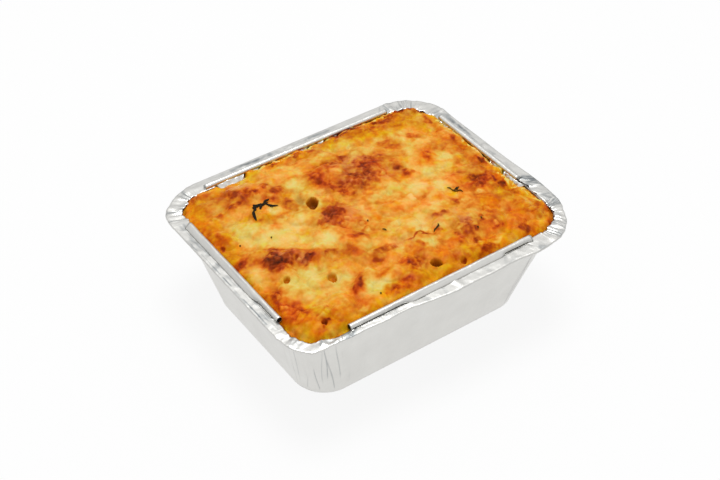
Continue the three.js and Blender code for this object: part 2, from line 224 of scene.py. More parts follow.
def foil_rows():
    """The sheet's section, from the middle of the base to the lip's free edge, and its painted
    shade.
    """
    rows, shades = [], []

    def row(outline, z, pushed=0.0, swollen=0.0, creased=0.0, lifted=0.0, shade=0.0):
        x, y = ring(outline)
        out = PUSH * pushed + SWELL * swollen + creased
        rows.append(np.stack([x + out * OUT_X, y + out * OUT_Y, z + lifted + 0 * x], -1))
        shades.append(shade + 0 * x)

    corner = np.where(SIDE == 0, 1.0, 0.0)
    near_end = np.exp(-(np.where(SIDE == 0, 0, straight - np.abs(PLACE)) / 6) ** 2)
    flat = ROUND * 0
    for share in (0.02, 0.3, 0.55, 0.8, 1.0):
        row(tuple(v * share for v in inset(FOOT, BASE_BEND)), BASE_HEIGHT)
    for k in range(1, 5):
        turn = k / 4 * math.pi / 2
        row(inset(FOOT, BASE_BEND * (1 - math.sin(turn))),
            BASE_HEIGHT + (FOOT_HEIGHT - BASE_HEIGHT) * (1 - math.cos(turn)))
    # Wall: faint upright flutes where the blank was drawn in, sharp creases at the corners.
    for k in range(1, 17):
        up = k / 16
        z = FOOT_HEIGHT + (WALL_TOP - FOOT_HEIGHT) * up
        flute = crumple(ROUND, flat + z / 9, 2.6, 11) * (0.03 + 0.12 * near_end)
        flute = flute + lattice(ROUND, flat + z / 30, 1.5, 12) * (0.02 + 0.05 * near_end)
        dimple = lattice(ROUND, flat + z, 12, 13) * 0.06
        # Each corner crease is also painted darker in the sheet's colour: painted shade in the
        # crease.
        crease = upright_creases(z, 14) * np.where(SIDE == 0, 1.0, 0.1 + 0.2 * near_end)
        shaped = np.clip(flute * (0.45 + 0.55 * up) + dimple, -0.25, 1) * min(1, 3 * up)
        row(wall_outline(z), z, 0, BULGE * up ** 1.6, shaped - 0.22 * crease, 0, 0.50 * crease)
    # Flange: out from the wall to the fold line, where the sheet turns back over itself.
    row(inset(RIM, 5.5), RIM_HEIGHT - 0.9, 0.1, BULGE * 0.95)
    row(inset(RIM, 4.9), RIM_HEIGHT - 0.65, 0.2, BULGE * 0.7)
    row(inset(RIM, 2.6), RIM_HEIGHT - 0.6, 0.6, 0.1, 0, lattice(RIM_X, RIM_Y, 4, 15) * 0.06)
    nick = crumple(ROUND, flat, 2.0, 16) * (0.03 + 0.12 * corner)
    sag = crumple(ROUND, flat + 3, 3.2, 17) * (0.04 + 0.12 * corner)
    for by, up, pushed in ((0.5, -0.42, 0.95), (0.12, -0.2, 1), (0.05, 0.1, 1)):
        row(inset(RIM, by), RIM_HEIGHT + up, pushed, 0, nick, sag)
    # Lip: flat beside the curls, gathered into sharp radial pleats round the corners.
    strength = np.array(CRUSH)[NEAR_CORNER] * (0.9 + 0.7 * lattice(ROUND, flat, 5, 32))
    ragged = 0.5 * crumple(ROUND, flat, 1.6, 20) + 0.5 * lattice(ROUND, flat, 3.5, 21)
    # Painted shade: a thin dark line along one row of the lip, outside the curl of the left side,
    # standing for the shadow in a pressed crease.
    seam_shadow_line = 0.55 * (SIDE == 2) * (OUT_X < 0) * ramp(-44, -40, PLACE) * (1 - ramp(0, 25, PLACE))
    seam_shadow_line = seam_shadow_line * ramp(-0.6, 0.2, lattice(ROUND, flat, 3.0, 30))
    for share in (0.04, 0.12, 0.22, 0.34, 0.46, 0.58, 0.7, 0.82, 0.92, 1.0):
        beside_curl = 0.35 + 4.15 * share
        by = beside_curl + ((LIP_WIDTH + ragged) * share + 0.15 - beside_curl) * CRUSHED
        x, y = ring(inset(RIM, by))
        height = RIM_HEIGHT + 0.4 + 0.15 * share * (1 - CRUSHED)
        lean = ROUND + 2.0 * share * lattice(ROUND, flat, 6, 31)
        broad = np.choose(NEAR_CORNER, [crumple(lean, flat + 1.6 * share, n, 18) for n in PLEATS])
        fine = np.choose(NEAR_CORNER, [crumple(lean, flat + 40, n * 0.45, 19) for n in PLEATS])
        pleat = (0.7 * broad + 0.4 * fine) * strength
        fold = ramp(0.55, 1.0, np.abs(np.gradient(np.gradient(pleat))) * 6)
        gathered = (0.22 + pleat * 0.40) * CRUSHED * min(1, 1.8 * share)
        creased = crumple(x, y, 3.4, 22) * (0.07 + 0.11 * CRUSHED) + crumple(x, y, 1.9, 33) * 0.04
        creased = (creased + KINK) * min(1, 2.5 * share)
        streaks = STREAKED * ramp(0.1, 0.9, lattice(ROUND / 5, flat + by / 0.6, 1, 34))
        # Painted reflection: broad grey patches where the lip would mirror the darker parts of the
        # room.
        reflection_patches = ramp(0.1, 0.9, lattice(x, y, 5, 26) + 0.6 * lattice(x, y, 2, 27))
        lip_shade = sum(depth * np.exp(-((x - at_x) / long) ** 2 - ((y - at_y) / wide) ** 2)
                    for at_x, at_y, long, wide, depth in LIP_SHADE_PATCHES)
        # The last argument is painted shade: dark along the pleats' folds, the reflection patches,
        # the lip's shade patches, the grey streaks and the crease line.
        row(inset(RIM, by), height, 0.95 * (1 - share), 0.8 * CRUSHED * share,
            nick * (1 - share), gathered + creased + sag * (1 - share),
            strength * 0.45 * fold * CRUSHED + 0.25 * reflection_patches * np.minimum(strength + 0.2, 1)
            + lip_shade * (0.8 + 0.3 * lattice(x, y, 1.1, 35)) + streaks + seam_shadow_line * (share == 0.22))
    return rows, shades


def sheet_faces(rows, around, closed, first):
    """Quads between rows of points; a closed sheet joins its last column to its first."""
    faces = []
    for r in range(rows - 1):
        for k in range(around if closed else around - 1):
            a, b = first + r * around + k, first + r * around + (k + 1) % around
            faces.append((a, b, b + around, a + around))
    return faces


def beside_rim(along, facing, place, offset, z):
    """Points beside a straight side of the rim, by how far in from its fold line."""
    edge = (RIM[1 - along] - offset) * facing
    return np.stack((place, edge, z) if along == 0 else (edge, place, z), -1)


def curl_rows(along, facing, low, high, *clear):
    """One roll: from the lip, under, up its inner side, over and down behind itself."""
    place = np.linspace(low, high, int((high - low) / 0.9))
    across = 0 * place + RIM[1 - along]
    radius = CURL_RADIUS - SHEET / 2 - 0.04 + lattice(place, across, 7, 23) * 0.04
    pressed = 1 - sum(ramp(a - 3, a, place) * (1 - ramp(b - 1, b + 5, place)) for a, b in clear)
    rows = []
    for k, turn in enumerate([None] + list(np.radians(np.linspace(*CURL_TURN, 24)))):
        if turn is None:
            offset, z = 4.35 + 0 * place, RIM_HEIGHT + 0.5 + 0 * place
        else:
            tight = radius * (1 - 0.07 * max(0, k - 17) / 7)
            tight = tight + crumple(place, 0 * place + 3 * turn, 3.0, 25) * 0.03
            offset = CURL_INSET + math.sin(turn) * tight
            z = RIM_HEIGHT + CURL_HEIGHT - math.cos(turn) * tight
            over = max(0, (math.degrees(turn) - PRESSED_FROM) / (CURL_TURN[1] - PRESSED_FROM))
            press = pressed * ramp(0, 0.2, over)
            offset = offset + (CURL_INSET - 0.2 - 2.1 * over - offset) * press
            z = z + (RIM_HEIGHT + 2.3 - 1.66 * over ** 1.4 - z) * press
        rows.append(beside_rim(along, facing, place, offset, z))
    return rows


# Where the crust has shrunk back from the rim and a slant of the inner wall shows: the
# side, the ends of the gap along it and how far the crust has drawn back, in mm.
GAPS = (("back", -43, -29, 2.6), ("back", -25, -21.5, 1.2), ("back", -1, 4, 0.9),
        ("back", 9, 13, 1.0), ("back", 18, 20, 0.8), ("right", 27, 33, 0.8),
        ("right", 37, 40, 0.9), ("right", -9, -2, 0.9), ("right", -25, -12, 2.2))


def slant_rows(side, low, high, back):
    """The inner wall where it slants from the curl down to the shrunken crust."""
    along, facing = SIDES[side][:2]
    place = np.linspace(low, high, int((high - low) / 0.35) + 2)
    taper = ramp(low - 0.1, low + 1.5, place) * (1 - ramp(high - 1.5, high + 0.1, place))
    rows = []
    for k in range(7):
        down = k / 6 * taper
        offset = 7.0 + down * (1.1 * back + 0.3)
        offset = offset + crumple(place, 0 * place + 2 * k, 1.8, 28) * 0.25
        z = RIM_HEIGHT + 1.0 - down * (1.0 + 0.8 * back)
        z = z + 0.15 * lattice(place, 0 * place + k, 1.5, 29)
        rows.append(beside_rim(along, facing, place, offset, z))
    return rows


def linear(hex_colour):
    """An sRGB hex colour as linear red, green, blue and alpha."""
    parts = [int(hex_colour[i:i + 2], 16) / 255 for i in (1, 3, 5)]
    return [c / 12.92 if c <= 0.04045 else ((c + 0.055) / 1.055) ** 2.4 for c in parts] + [1.0]


def add_node(tree, kind, settings=None, links=None, stops=()):
    """A shader node with its settings, by name or socket, the sockets that feed it, where
    a node stands for its first output, and the (position, colour) stops of a ramp."""
    node = tree.nodes.new("ShaderNode" + kind)
    for name, value in (settings or {}).items():
        if isinstance(name, str) and hasattr(node, name):
            setattr(node, name, value)
        else:
            node.inputs[name].default_value = value
    for name, source in (links or {}).items():
        socket = source.outputs[0] if isinstance(source, bpy.types.Node) else source
        tree.links.new(socket, node.inputs[name])
    if stops:
        elements = node.color_ramp.elements
        while len(elements) < len(stops):
            elements.new(0.5)
        for element, (position, tint) in zip(elements, stops):
            element.position, element.color = position, linear(tint)
    return node


def new_material(name):
    made = bpy.data.materials.new(name)
    made.use_nodes = True
    made.node_tree.nodes.clear()
    return made, made.node_tree


def new_piece(name, points, faces, material, smooth=True):
    mesh = bpy.data.meshes.new(name)
    mesh.from_pydata([tuple(p) for p in np.asarray(points) * MM], [], faces)
    mesh.update()
    mesh.polygons.foreach_set("use_smooth", [smooth] * len(mesh.polygons))
    mesh.materials.append(material)
    piece = bpy.data.objects.new(name, mesh)
    bpy.context.scene.collection.objects.link(piece)
    return piece


# Soft rolled aluminium foil: bright, finely scratched and crinkled, so it mirrors the room as
# broad soft patches. Its colour also holds painted shade and painted reflections: grey along sharp
# creases, folds and streaks, and near black inside the curls' open ends.
CRINKLE, SCRATCHES, HAZE = 2.2 * MM, 1.2 * MM, 10 * MM  # widths; real scratches are finer
foil_material, tree = new_material("rolled_aluminium_foil")
place = add_node(tree, "TexCoord").outputs["Object"]
crinkle = add_node(tree, "TexVoronoi", {"Scale": 1 / CRINKLE}, {"Vector": place})
grain = add_node(tree, "TexNoise", {"Scale": 1 / SCRATCHES, "Detail": 4.0}, {"Vector": place})
broad = add_node(tree, "TexNoise", {"Scale": 1 / HAZE, "Detail": 4.0}, {"Vector": place})
painted_shade = add_node(tree, "Attribute", {"attribute_name": "painted_shade"}).outputs["Fac"]
cloud = add_node(tree, "Math", {"operation": "MULTIPLY_ADD", 1: 0.15, 2: -0.025}, {0: broad})
# painted shade and painted reflections from the sheet's attribute, plus a random cloudy tone
shade_and_cloud = add_node(tree, "Math", {"operation": "MULTIPLY_ADD", 1: 0.5}, {0: painted_shade, 2: cloud})
tone = add_node(tree, "ValToRGB", None, {"Fac": shade_and_cloud},
                ((0.0, "#DDDCD8"), (0.10, "#D6D5D1"), (0.25, "#B0B2B1"), (0.5, "#7C8083"),
                 (1.0, "#1A2224")))
gloss = add_node(tree, "MapRange", {"To Min": 0.28, "To Max": 0.44}, {"Value": broad})
folds = add_node(tree, "Bump", {"Strength": 0.16, "Distance": 0.4 * MM}, {"Height": crinkle})
rough = add_node(tree, "Bump", {"Strength": 0.20, "Distance": 0.2 * MM},
                 {"Height": grain, "Normal": folds})
skin = add_node(tree, "BsdfPrincipled", {"Metallic": 1.0},
                {"Base Color": tone, "Roughness": gloss, "Normal": rough})
add_node(tree, "OutputMaterial", None, {"Surface": skin})

sheet_rows, shades = foil_rows()
foil_points = np.vstack(sheet_rows + [np.array([[0, 0, BASE_HEIGHT]])])
foil_faces = sheet_faces(len(sheet_rows), len(PLACE), True, 0)
foil_faces += [(len(foil_points) - 1, (k + 1) % len(PLACE), k) for k in range(len(PLACE))]
painted_shade_values = np.concatenate(shades + [[0.0]])
for gap in GAPS:
    slant = slant_rows(*gap)
    foil_faces += sheet_faces(len(slant), len(slant[0]), False, len(foil_points))
    foil_points = np.vstack([foil_points] + slant)
    painted_shade_values = np.append(painted_shade_values, np.zeros(sum(len(r) for r in slant)))
for name, side in SIDES.items():
    roll = curl_rows(*side)
    foil_faces += sheet_faces(len(roll), len(roll[0]), False, len(foil_points))
    foil_points = np.vstack([foil_points] + roll)
    for k, r in enumerate(roll):  # painted reflection: long faint grey streaks along the curl
        curl_streak_noise = lattice(r[:, side[0]] / 6, r[:, 0] * 0 + k / 2, 1, 36)
        painted_shade_values = np.append(painted_shade_values, 0.16 * ramp(0.1, 0.9, curl_streak_noise))
    for end in (0, -1):  # painted shade: a near-black disc inside each open end, where the inner windings lie in shadow
        winding = np.array([r[end] for r in roll[1:]])
        middle = winding.mean(0)
        hub, count = len(foil_points), len(winding)
        foil_points = np.vstack([foil_points, middle, middle + (winding - middle) * 0.88])
        foil_faces += [(hub, hub + 1 + k, hub + 1 + (k + 1) % count) for k in range(count)]
        deep = 2.0 if end == 0 and name in ("front", "left") else 0.5
        painted_shade_values = np.append(painted_shade_values, np.full(count + 1, deep))
tray = new_piece("foil_tray_sheet", foil_points, foil_faces, foil_material)
tray.data.attributes.new("painted_shade", "FLOAT", "POINT").data.foreach_set("value", painted_shade_values)
thick = tray.modifiers.new("foil", "SOLIDIFY")
thick.thickness, thick.offset = SHEET * MM, 0.0
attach(tray, "root")
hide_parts("foil_tray")

# ---------------------------------------------------------------------------
# Baked filling: elbow macaroni in cheese sauce under grated cheese that has melted,
# blistered and browned in the oven. One mass, poured into the tray and baked.
# ---------------------------------------------------------------------------
FILL_GAP = 0.3  # clear of the wall
FILL_EDGE = 46.2  # where the crust meets the foil, just under the curls
FILL_BASE = 1.0
FILL_DOME = 2.8  # how far its middle rises over its edge
ELBOW_WIDTH, ELBOW_LENGTH, ELBOW_PITCH = 8.4, 16.0, 11.5
ELBOW_FIELD = (65.1, 52.1)  # half the length and width that the elbows cover
GRID_X, GRID_Y = 334, 268  # steps of the crust's mesh
MOUNDS = (  # x, y, half width and height
    (-5, 28, 9, 1.3), (11, 21, 11, 1.5), (-14, 4.5, 6, 1.2), (-50, -6.5, 7, 1.2),
    (-36, -13, 6, 0.9), (-22, -17, 6, 0.8), (-39, 33, 11, 1.2), (3, -37, 6, 0.8),
    (26, -34, 7, 1.1), (22, -20, 5, 0.8), (49, -12, 5, 1), (43, 13, 5, 0.8), (-12, -45, 7, 0.8),
    (25, -47, 6, 0.7), (53, 39, 6, 0.8), (-50, -41, 6, 0.8), (9, -30, 5, 0.9), (-36, 4, 9, -1.2),
    (-34, -27, 9, -0.6), (-36, 49, 7, -2.2), (62, -20, 6, -2.2))
OPEN_ENDS = (  # x, y, bore radius, heading and tilt of the bore, how dark its inside is painted, as shade
    (-18.1, 14.4, 2.6, 4.12, 1.6, 0.88), (-52, -18.2, 1.4, 4.1, 1.2, 0.30),
    (-36.7, -27.8, 2.1, 4.2, 1.1, 0.22), (2.4, -44.7, 1.95, 5.67, 1.5, 0.85),
    (-53, -46.4, 1.2, 4.3, 0.5, 0.34), (13.2, -48.8, 1.3, 4.0, 1.2, 0.25))
GROOVE_AT, GROOVE_ALONG = (-21.2, 19.0), (0.27, 0.96)  # a shallow one beside the widest end
RIDGES = (  # elbows that push the crust up: x, y, half length, half width, heading, height
    (55.5, -37.5, 6.0, 2.8, 68, 1.0), (-44, -8, 15, 2.6, -20, 0.8), (-40, 0.5, 12, 3.0, -25, -0.6),
    (24, -35, 6, 2.6, 35, 0.5), (-31, -38, 5, 2.0, 55, 0.4), (46, -43, 2.4, 6, -10, 0.5))

# How far the cheese has toasted, from 0, just melted, to 1, dark brown. Each patch is
# x, y, half length, half width and its toasting, then its heading in degrees where it
# is turned. It is placed on a level plane near the rim and slid on to the domed crust.
PLANE = 48.0
SLIDE = (-0.69, -0.97)  # mm sideways for each mm that the crust stands over the plane
GROUND = 0.27  # toasting between the patches
RUDDINESS = 0.35  # and its hue there, from 0, olive, to 1, red
WARM = (  # golden-orange ground
    (-60, 28, 5, 14, 0.46), (-60, 17, 4, 8, 0.54), (-59, 42, 5, 4, 0.46), (-46, 39, 11, 6, 0.5, 5),
    (-46, 44, 7, 3.4, 0.54), (-35, 38, 12, 6, 0.5), (-28, 33, 7, 9, 0.46), (-24, 26, 4, 9, 0.47),
    (-33, 19, 10, 3, 0.38, 5), (-60, 2.5, 5, 2.4, 0.52, -5), (-54, 7, 5, 3, 0.45),
    (-46, -5, 12, 8, 0.56, -20), (-36, -10, 9, 5, 0.56, -20), (-25, -13, 10, 4, 0.48, -20),
    (-18, -16, 7, 4, 0.48, -20), (-59.5, -22, 4, 9, 0.5), (-60, -33, 5, 8, 0.58),
    (-54, -39, 9, 4, 0.46), (-50, -45, 14, 6, 0.42), (-34, -44, 10, 6, 0.42),
    (-29, -34, 7, 4, 0.5, 50), (-11, -45, 7, 5, 0.5, 5), (4, -46, 16, 6, 0.43),
    (-13, -25, 11, 5, 0.43), (-16, -34, 5, 3, 0.46), (-2, -36, 10, 6, 0.5, 10),
    (1, -31, 4, 3, 0.5), (9, -34, 8, 3, 0.48, 20), (28, -33, 11, 8, 0.48, 10),
    (38, -38, 14, 9, 0.46), (24, -47, 8, 5, 0.5), (48, -42, 10, 10, 0.42),
    (40, -33, 4, 3, 0.5, 40), (34, -42, 4, 3, 0.52), (50, -36, 3, 4, 0.52), (43, -20, 3, 3, 0.5),
    (52, -24, 3, 3, 0.52), (58, -38, 7, 8, 0.49), (57, -25, 4, 6, 0.54), (53, -33, 7, 5, 0.52),
    (42, -22, 14, 10, 0.45), (46, -30, 8, 6, 0.48), (51, -10, 11, 8, 0.54), (58, -4, 5, 14, 0.5),
    (48, -2, 6, 4, 0.48), (59, 18, 4, 16, 0.5), (60, 35, 3, 10, 0.52), (55, 35, 5, 6, 0.44),
    (-13, 6, 11, 7, 0.5), (-12, -4, 7, 10, 0.45), (0, -6, 12, 10, 0.36), (9, 1, 4, 5, 0.36),
    (8, -5, 6, 3, 0.36), (25, 11, 4, 3, 0.48), (12, 24, 20, 14, 0.53, -5), (8, 19, 13, 8, 0.57),
    (20, 29, 11, 5, 0.57, -5), (-6, 26, 4, 7, 0.58), (2, 36, 8, 3, 0.56), (-4, 30, 8, 10, 0.5),
    (6, 36, 12, 5, 0.48), (28, 15, 3, 6, 0.48), (4, 12, 12, 5, 0.43), (33, 32, 5, 4, 0.36, -10),
    (48, 31.5, 4, 3, 0.44), (42, 16, 8, 6, 0.45, 30), (53, 18, 5, 7, 0.44, 20),
    (44, 43, 10, 4, 0.42), (-55, 47, 10, 2.5, 0.5), (-3, 47, 14, 3, 0.47), (12, 48, 12, 3, 0.42),
    (26, 49, 16, 4, 0.52), (50, 46, 9, 6, 0.47), (15, -27, 3, 2, 0.46), (-6, 10, 3, 3, 0.56),
    (-61, 37, 3, 5, 0.5), (-7, 38, 3, 3, 0.42), (54, 3, 3, 4, 0.48), (22, 42, 4, 3, 0.38))
BROWNED = (  # browned and blistered cheese
    (-59, 22, 1.5, 3, 0.58), (-62, 14, 2, 1.5, 0.78, 45), (-52, 33, 3, 1.5, 0.52, 40),
    (-40, 42, 3.4, 2.6, 0.7), (-36, 38.5, 4.5, 4, 0.68, 40), (-33, 39, 3, 2.6, 0.76),
    (-43, 36, 3.4, 2, 0.62, 20), (-27, 39, 1.6, 1.6, 0.68), (-24, 34, 2.2, 3.5, 0.62, 20),
    (-29, 31, 3, 1.5, 0.62), (-23.5, 25, 2, 4, 0.55), (-24, 20.5, 2.5, 2, 0.54),
    (-29, 18, 4, 1.2, 0.5, 10), (-40, 22, 2.4, 3, 0.55), (-6, 29, 3.6, 5, 0.58),
    (-6.5, 27, 2.2, 1.8, 0.68), (-4, 31, 2.4, 1.6, 0.5, 40), (4.5, 36, 2.2, 1.5, 0.66),
    (11, 36, 3.6, 2.4, 0.68, -20), (17.5, 27, 6.5, 4, 0.66, -10), (18, 27, 2.8, 2.5, 0.78),
    (21, 30, 3, 2.6, 0.7), (13.5, 30.5, 2.4, 1.3, 0.68), (7.6, 22, 4.4, 2.6, 0.78, 20),
    (5, 21, 1.8, 1.6, 0.72), (13, 18, 7, 5, 0.7, 10), (12, 22.5, 8, 4, 0.66), (1, 18, 3.2, 6, 0.6),
    (-2, 23, 2.4, 3, 0.62), (5, 15, 6, 4, 0.7), (23.5, 26, 4, 4.5, 0.54),
    (28.5, 18, 2.5, 3.4, 0.66), (29, 12, 2.8, 2.5, 0.7), (6, 11.5, 7, 1.8, 0.52),
    (-13, 7, 7.5, 4.8, 0.72, 10), (-8, 12, 3.4, 3, 0.62), (-18.5, 5.5, 3.8, 2.8, 0.9),
    (-8, 14, 4, 2.4, 0.58), (-8, 7.5, 2.2, 2.8, 0.78), (-17.5, 4, 2.6, 1.5, 0.76, 20),
    (-13, 8.5, 3, 1.6, 0.76), (-14, 1.5, 4, 3, 0.66), (-12.5, -3, 3, 4, 0.48),
    (-5, -2, 1.4, 2.5, 0.52), (-12, -10.2, 4, 1.8, 0.66, 5), (-3.5, -5.3, 1.3, 1, 0.6),
    (-47.5, -4, 6, 5, 0.8), (-47, -4, 4.6, 4.2, 1, 20), (-49.5, -6.5, 3.6, 2.6, 1.14),
    (-46.5, -1, 3.2, 2.4, 1.15), (-47.5, -9, 3.8, 2.4, 0.9, 10), (-45, 1.4, 3.4, 1.5, 0.74, -25),
    (-42, -4.5, 6, 4, 0.7, -25), (-36, -10, 4.4, 1.9, 0.86, 10), (-38, -12, 3, 1.5, 0.72),
    (-31, -10, 3, 1.5, 0.5), (-27, -12.2, 3, 1.4, 0.74, -5), (-18.5, -15.2, 3.2, 1.6, 0.52, -15),
    (-61, 1, 3.6, 1.7, 0.64, 15), (-60, -23, 2.2, 5, 0.64, -10), (-61, -30, 3.6, 3.6, 0.63),
    (-56.5, -32, 2.6, 4.2, 0.6), (-57, -35.5, 4, 2, 0.5), (-52, -45.6, 2, 1.1, 0.9, -20),
    (-28.5, -34.5, 6, 2.3, 0.68, 52), (-26.8, -32.5, 2.4, 1.5, 0.84, 50),
    (-7, -24, 3.6, 2.2, 0.64, -10), (-4.5, -24.5, 1.5, 1.4, 0.74), (-14, -27, 3.6, 1.8, 0.58, -5),
    (-3.5, -38, 3, 4.6, 0.68), (-3.5, -36.5, 1.4, 1.8, 0.84), (-6, -34, 3.6, 1.6, 0.62),
    (-11.5, -43.5, 2.8, 2.4, 0.56), (-18, -46, 3.4, 2, 0.64), (6, -29.5, 1.2, 2.2, 0.66),
    (25, -33, 4.6, 3.4, 0.66, 30), (21, -38, 3.6, 2.6, 0.56), (20, -46, 4, 3.4, 0.56),
    (-17, -46, 5, 3.4, 0.6), (26, -41, 3.4, 2, 0.6), (17, -36, 3, 2.4, 0.5), (22, -8, 5, 3, 0.42),
    (17, 0.5, 2, 2, 0.42), (13, 31, 3, 2.4, 0.64), (30.5, -35, 1.4, 2.4, 0.7),
    (30, -29, 3, 2, 0.58, 60), (36.6, -30.5, 1.8, 2.6, 0.74), (43, -27.5, 3.6, 2, 0.62, 30),
    (39.5, -38.5, 4, 1.6, 0.66), (48, -41, 1.7, 4, 0.68, -15), (46.5, -46, 2, 4, 0.72, -15),
    (26, -47, 5.4, 3, 0.62), (25, -46, 2, 1.4, 0.7), (13.5, -48.5, 2.4, 1, 0.62, 25),
    (59, -42, 2, 5, 0.56, -20), (6.5, -24, 3.8, 0.45, 0.7, -5), (11, -25.3, 1.9, 0.4, 0.74, -38),
    (13, -26.8, 1.2, 0.4, 0.66, -30), (24.5, -18.8, 3.6, 1.7, 0.66, 10), (33.7, -16, 2, 1.8, 0.62),
    (52.5, -10.4, 7, 4.4, 0.72, -5), (53, -10, 5.4, 3.2, 0.9), (54, -18, 3, 2, 0.56),
    (52, -10, 2.6, 2, 1.08), (56, -13, 3, 2.4, 0.8), (58, -19, 2, 2.6, 0.7),
    (47, -2.5, 3, 2.4, 0.54), (60.5, -1, 1.6, 4, 0.68), (60.5, 20, 1.5, 4, 0.68),
    (60.5, 36, 1.3, 4, 0.68), (25, -5.6, 3.4, 1.8, 0.58), (43, 15.5, 2.5, 4, 0.56, -25),
    (53, 16, 2, 2.6, 0.54), (47.8, 31.2, 3.2, 2.1, 0.6), (33, 34, 2.2, 1.6, 0.54),
    (35, 30, 4, 1.8, 0.44, -20), (-3.5, 48.5, 3.4, 1.1, 0.86), (-15, 49, 3, 0.9, 0.64),
    (21, 50.2, 4, 1, 0.74), (28, 50.2, 3.2, 1.1, 0.84), (34.5, 47, 3.6, 2.8, 0.76),
    (46, 47, 5, 2.4, 0.64), (52, 50.5, 3.4, 1.6, 0.92), (59, 45, 2, 2.4, 0.82),
    (40, 49.5, 4, 1.5, 0.66), (46, 50.5, 4, 1.2, 0.7), (-5, -22.5, 2.5, 1.6, 0.58),
    (0, 49, 7, 1.4, 0.62), (-34, 36, 2.5, 2.5, 0.64), (18, -25, 2, 1.4, 0.56),
    (-6, -9, 3.4, 1.2, 0.52), (-4.5, -5, 1.2, 2.6, 0.52))
PALE = (  # smooth melted cheese that has taken no colour; depth 1 is the palest
    (-40, 9, 15, 5, 1, -4), (-47, 17, 5, 4, 0.6), (-36, 3, 7, 5, 1.1, -40), (-42, 4, 5, 4, 1.2),
    (-51, 14, 3, 3, 0.8), (-22, -7, 4, 7, 1), (-30, -3, 6, 5, 0.6), (-28, 12, 10, 3, 0.8),
    (-58, -7, 4, 6, 0.6), (-60, -12, 3, 4, 0.7), (-57.5, -4, 3.4, 3, 1.1), (-45, -21, 8, 7, 0.8),
    (-41, -17, 5, 2, 0.7), (-37, -29.5, 8, 4, 0.6), (-31, -28, 2.6, 4, 0.9, 30),
    (-47, -29, 5, 4, 0.5), (-23, -40, 8, 3.2, 1, 15), (-17, -37, 5, 2, 0.9, 10),
    (-31, 22, 4, 3, 1), (-15, 32, 5, 4, 0.8), (-12, 25, 3, 4, 0.4), (-11, 40, 7, 3, 0.5),
    (8, 31, 2, 2, 0.5), (4.5, 29.5, 2.6, 2.6, 1.3), (14, 23, 2, 2, 1), (12, 44, 12, 3, 0.4),
    (18, 41, 2, 2, 0.9), (25, 34.5, 4, 3, 0.9), (18, 34, 3, 2, 1), (31, 36, 5, 3, 0.4),
    (43, 30, 3, 4, 0.8), (38, 22, 4, 5, 0.7), (35, 14, 3, 4, 0.8), (32, 25, 2.6, 3, 0.6),
    (48, 25, 6, 3, 0.6), (49, 11, 3, 4, 1), (45, 35, 3, 3, 0.7), (38, 17, 3, 3, 0.8),
    (-39, 0.5, 4, 3, 1), (-23, -11, 3, 2, 0.8), (38, 6, 5, 5, 0.8), (45, 5, 5, 4, 0.8),
    (26, 1, 6, 4, 1, 10), (28, 6, 4, 2, 0.5), (36, -4, 4, 4, 0.9), (17, 6, 8, 3, 0.8, 10),
    (20, -4, 5, 3, 0.9), (9, -9, 5, 3, 0.5), (7, 5, 3, 2, 0.7), (-1, 0, 2, 4, 1),
    (-11, -17, 5, 3, 0.7), (-8, -8, 3, 3, 0.5), (6, -14, 4, 2, 0.9), (13, -17, 6, 4, 1),
    (26, -13, 4, 2.5, 0.8), (20, -16, 3, 2, 0.8), (32, -21, 4, 3, 0.6), (18, -12, 8, 3, 0.6),
    (-1, -26, 2.4, 2.4, 0.8), (8.5, -30, 3.5, 3, 1.1), (48, -17, 3, 3, 0.6),
    (45, -36, 3, 2, 0.3, 40), (36, -26, 3, 2, 0.6), (54, -29, 2.4, 2, 0.7), (31, -40, 2, 2, 0.5),
    (54, -41, 1.6, 3, 0.7, -20), (-10, 15, 5, 2, 0.4), (20, 13.5, 3, 2.5, 0.5),
    (-2.5, 17, 2, 2, 0.8), (-12, -22, 2.5, 2, 0.8), (-52, 38, 4, 3, 0.6), (49, -30, 3, 3, 0.6),
    (11, -22, 3, 2, 1), (-10, -3, 2.5, 2.5, 0.8), (-25, 36.5, 2, 2, 0.6), (41, 13, 2.5, 3, 0.6),
    (41, 0, 3, 3, 0.6), (-36, -3, 3, 2.5, 0.8, -30), (-23, -12, 2.5, 2, 0.8), (15, 10, 4, 2, 0.7),
    (59, -33, 2, 2.5, 1.2), (-60, -37, 2, 1.6, 0.8), (-35, -47, 3, 1.4, 1.2),
    (33, -45, 3, 1.6, 1.2))
OILY = (  # deep yellow oil that has come out of the cheese; depth 1 is the deepest
    (-60, 16, 4, 8, 0.5), (-59, 35, 4, 11, 0.6), (-40, 20, 9, 3, 0.5), (-28, 22, 5, 4, 0.3),
    (-10, 28, 4, 3, 0.4), (30, 44, 16, 5, 0.7), (20, 47, 12, 4, 0.5), (47, 43, 8, 5, 0.6),
    (53, 33, 4, 6, 0.5), (42, 14, 5, 3, 0.4), (45, 30, 4, 3, 0.3), (-50, -44, 8, 6, 0.6),
    (-57, -38, 5, 6, 0.6), (-18, -45, 8, 4, 0.5), (5, -45, 14, 4, 0.5), (27, -46, 10, 4, 0.5),
    (20, -41, 6, 3, 0.4), (43, -45, 5, 4, 0.5), (57, -25, 5, 12, 0.6), (45, -28, 4, 8, 0.5),
    (52, -38, 6, 6, 0.5), (-38, -10, 10, 3, 0.3, -15), (-5, -35, 5, 4, 0.4), (15, -38, 8, 5, 0.3),
    (47, 2, 3, 5, 0.4), (36, -12, 5, 3, 0.3), (52, -9, 6, 4, 0.5))
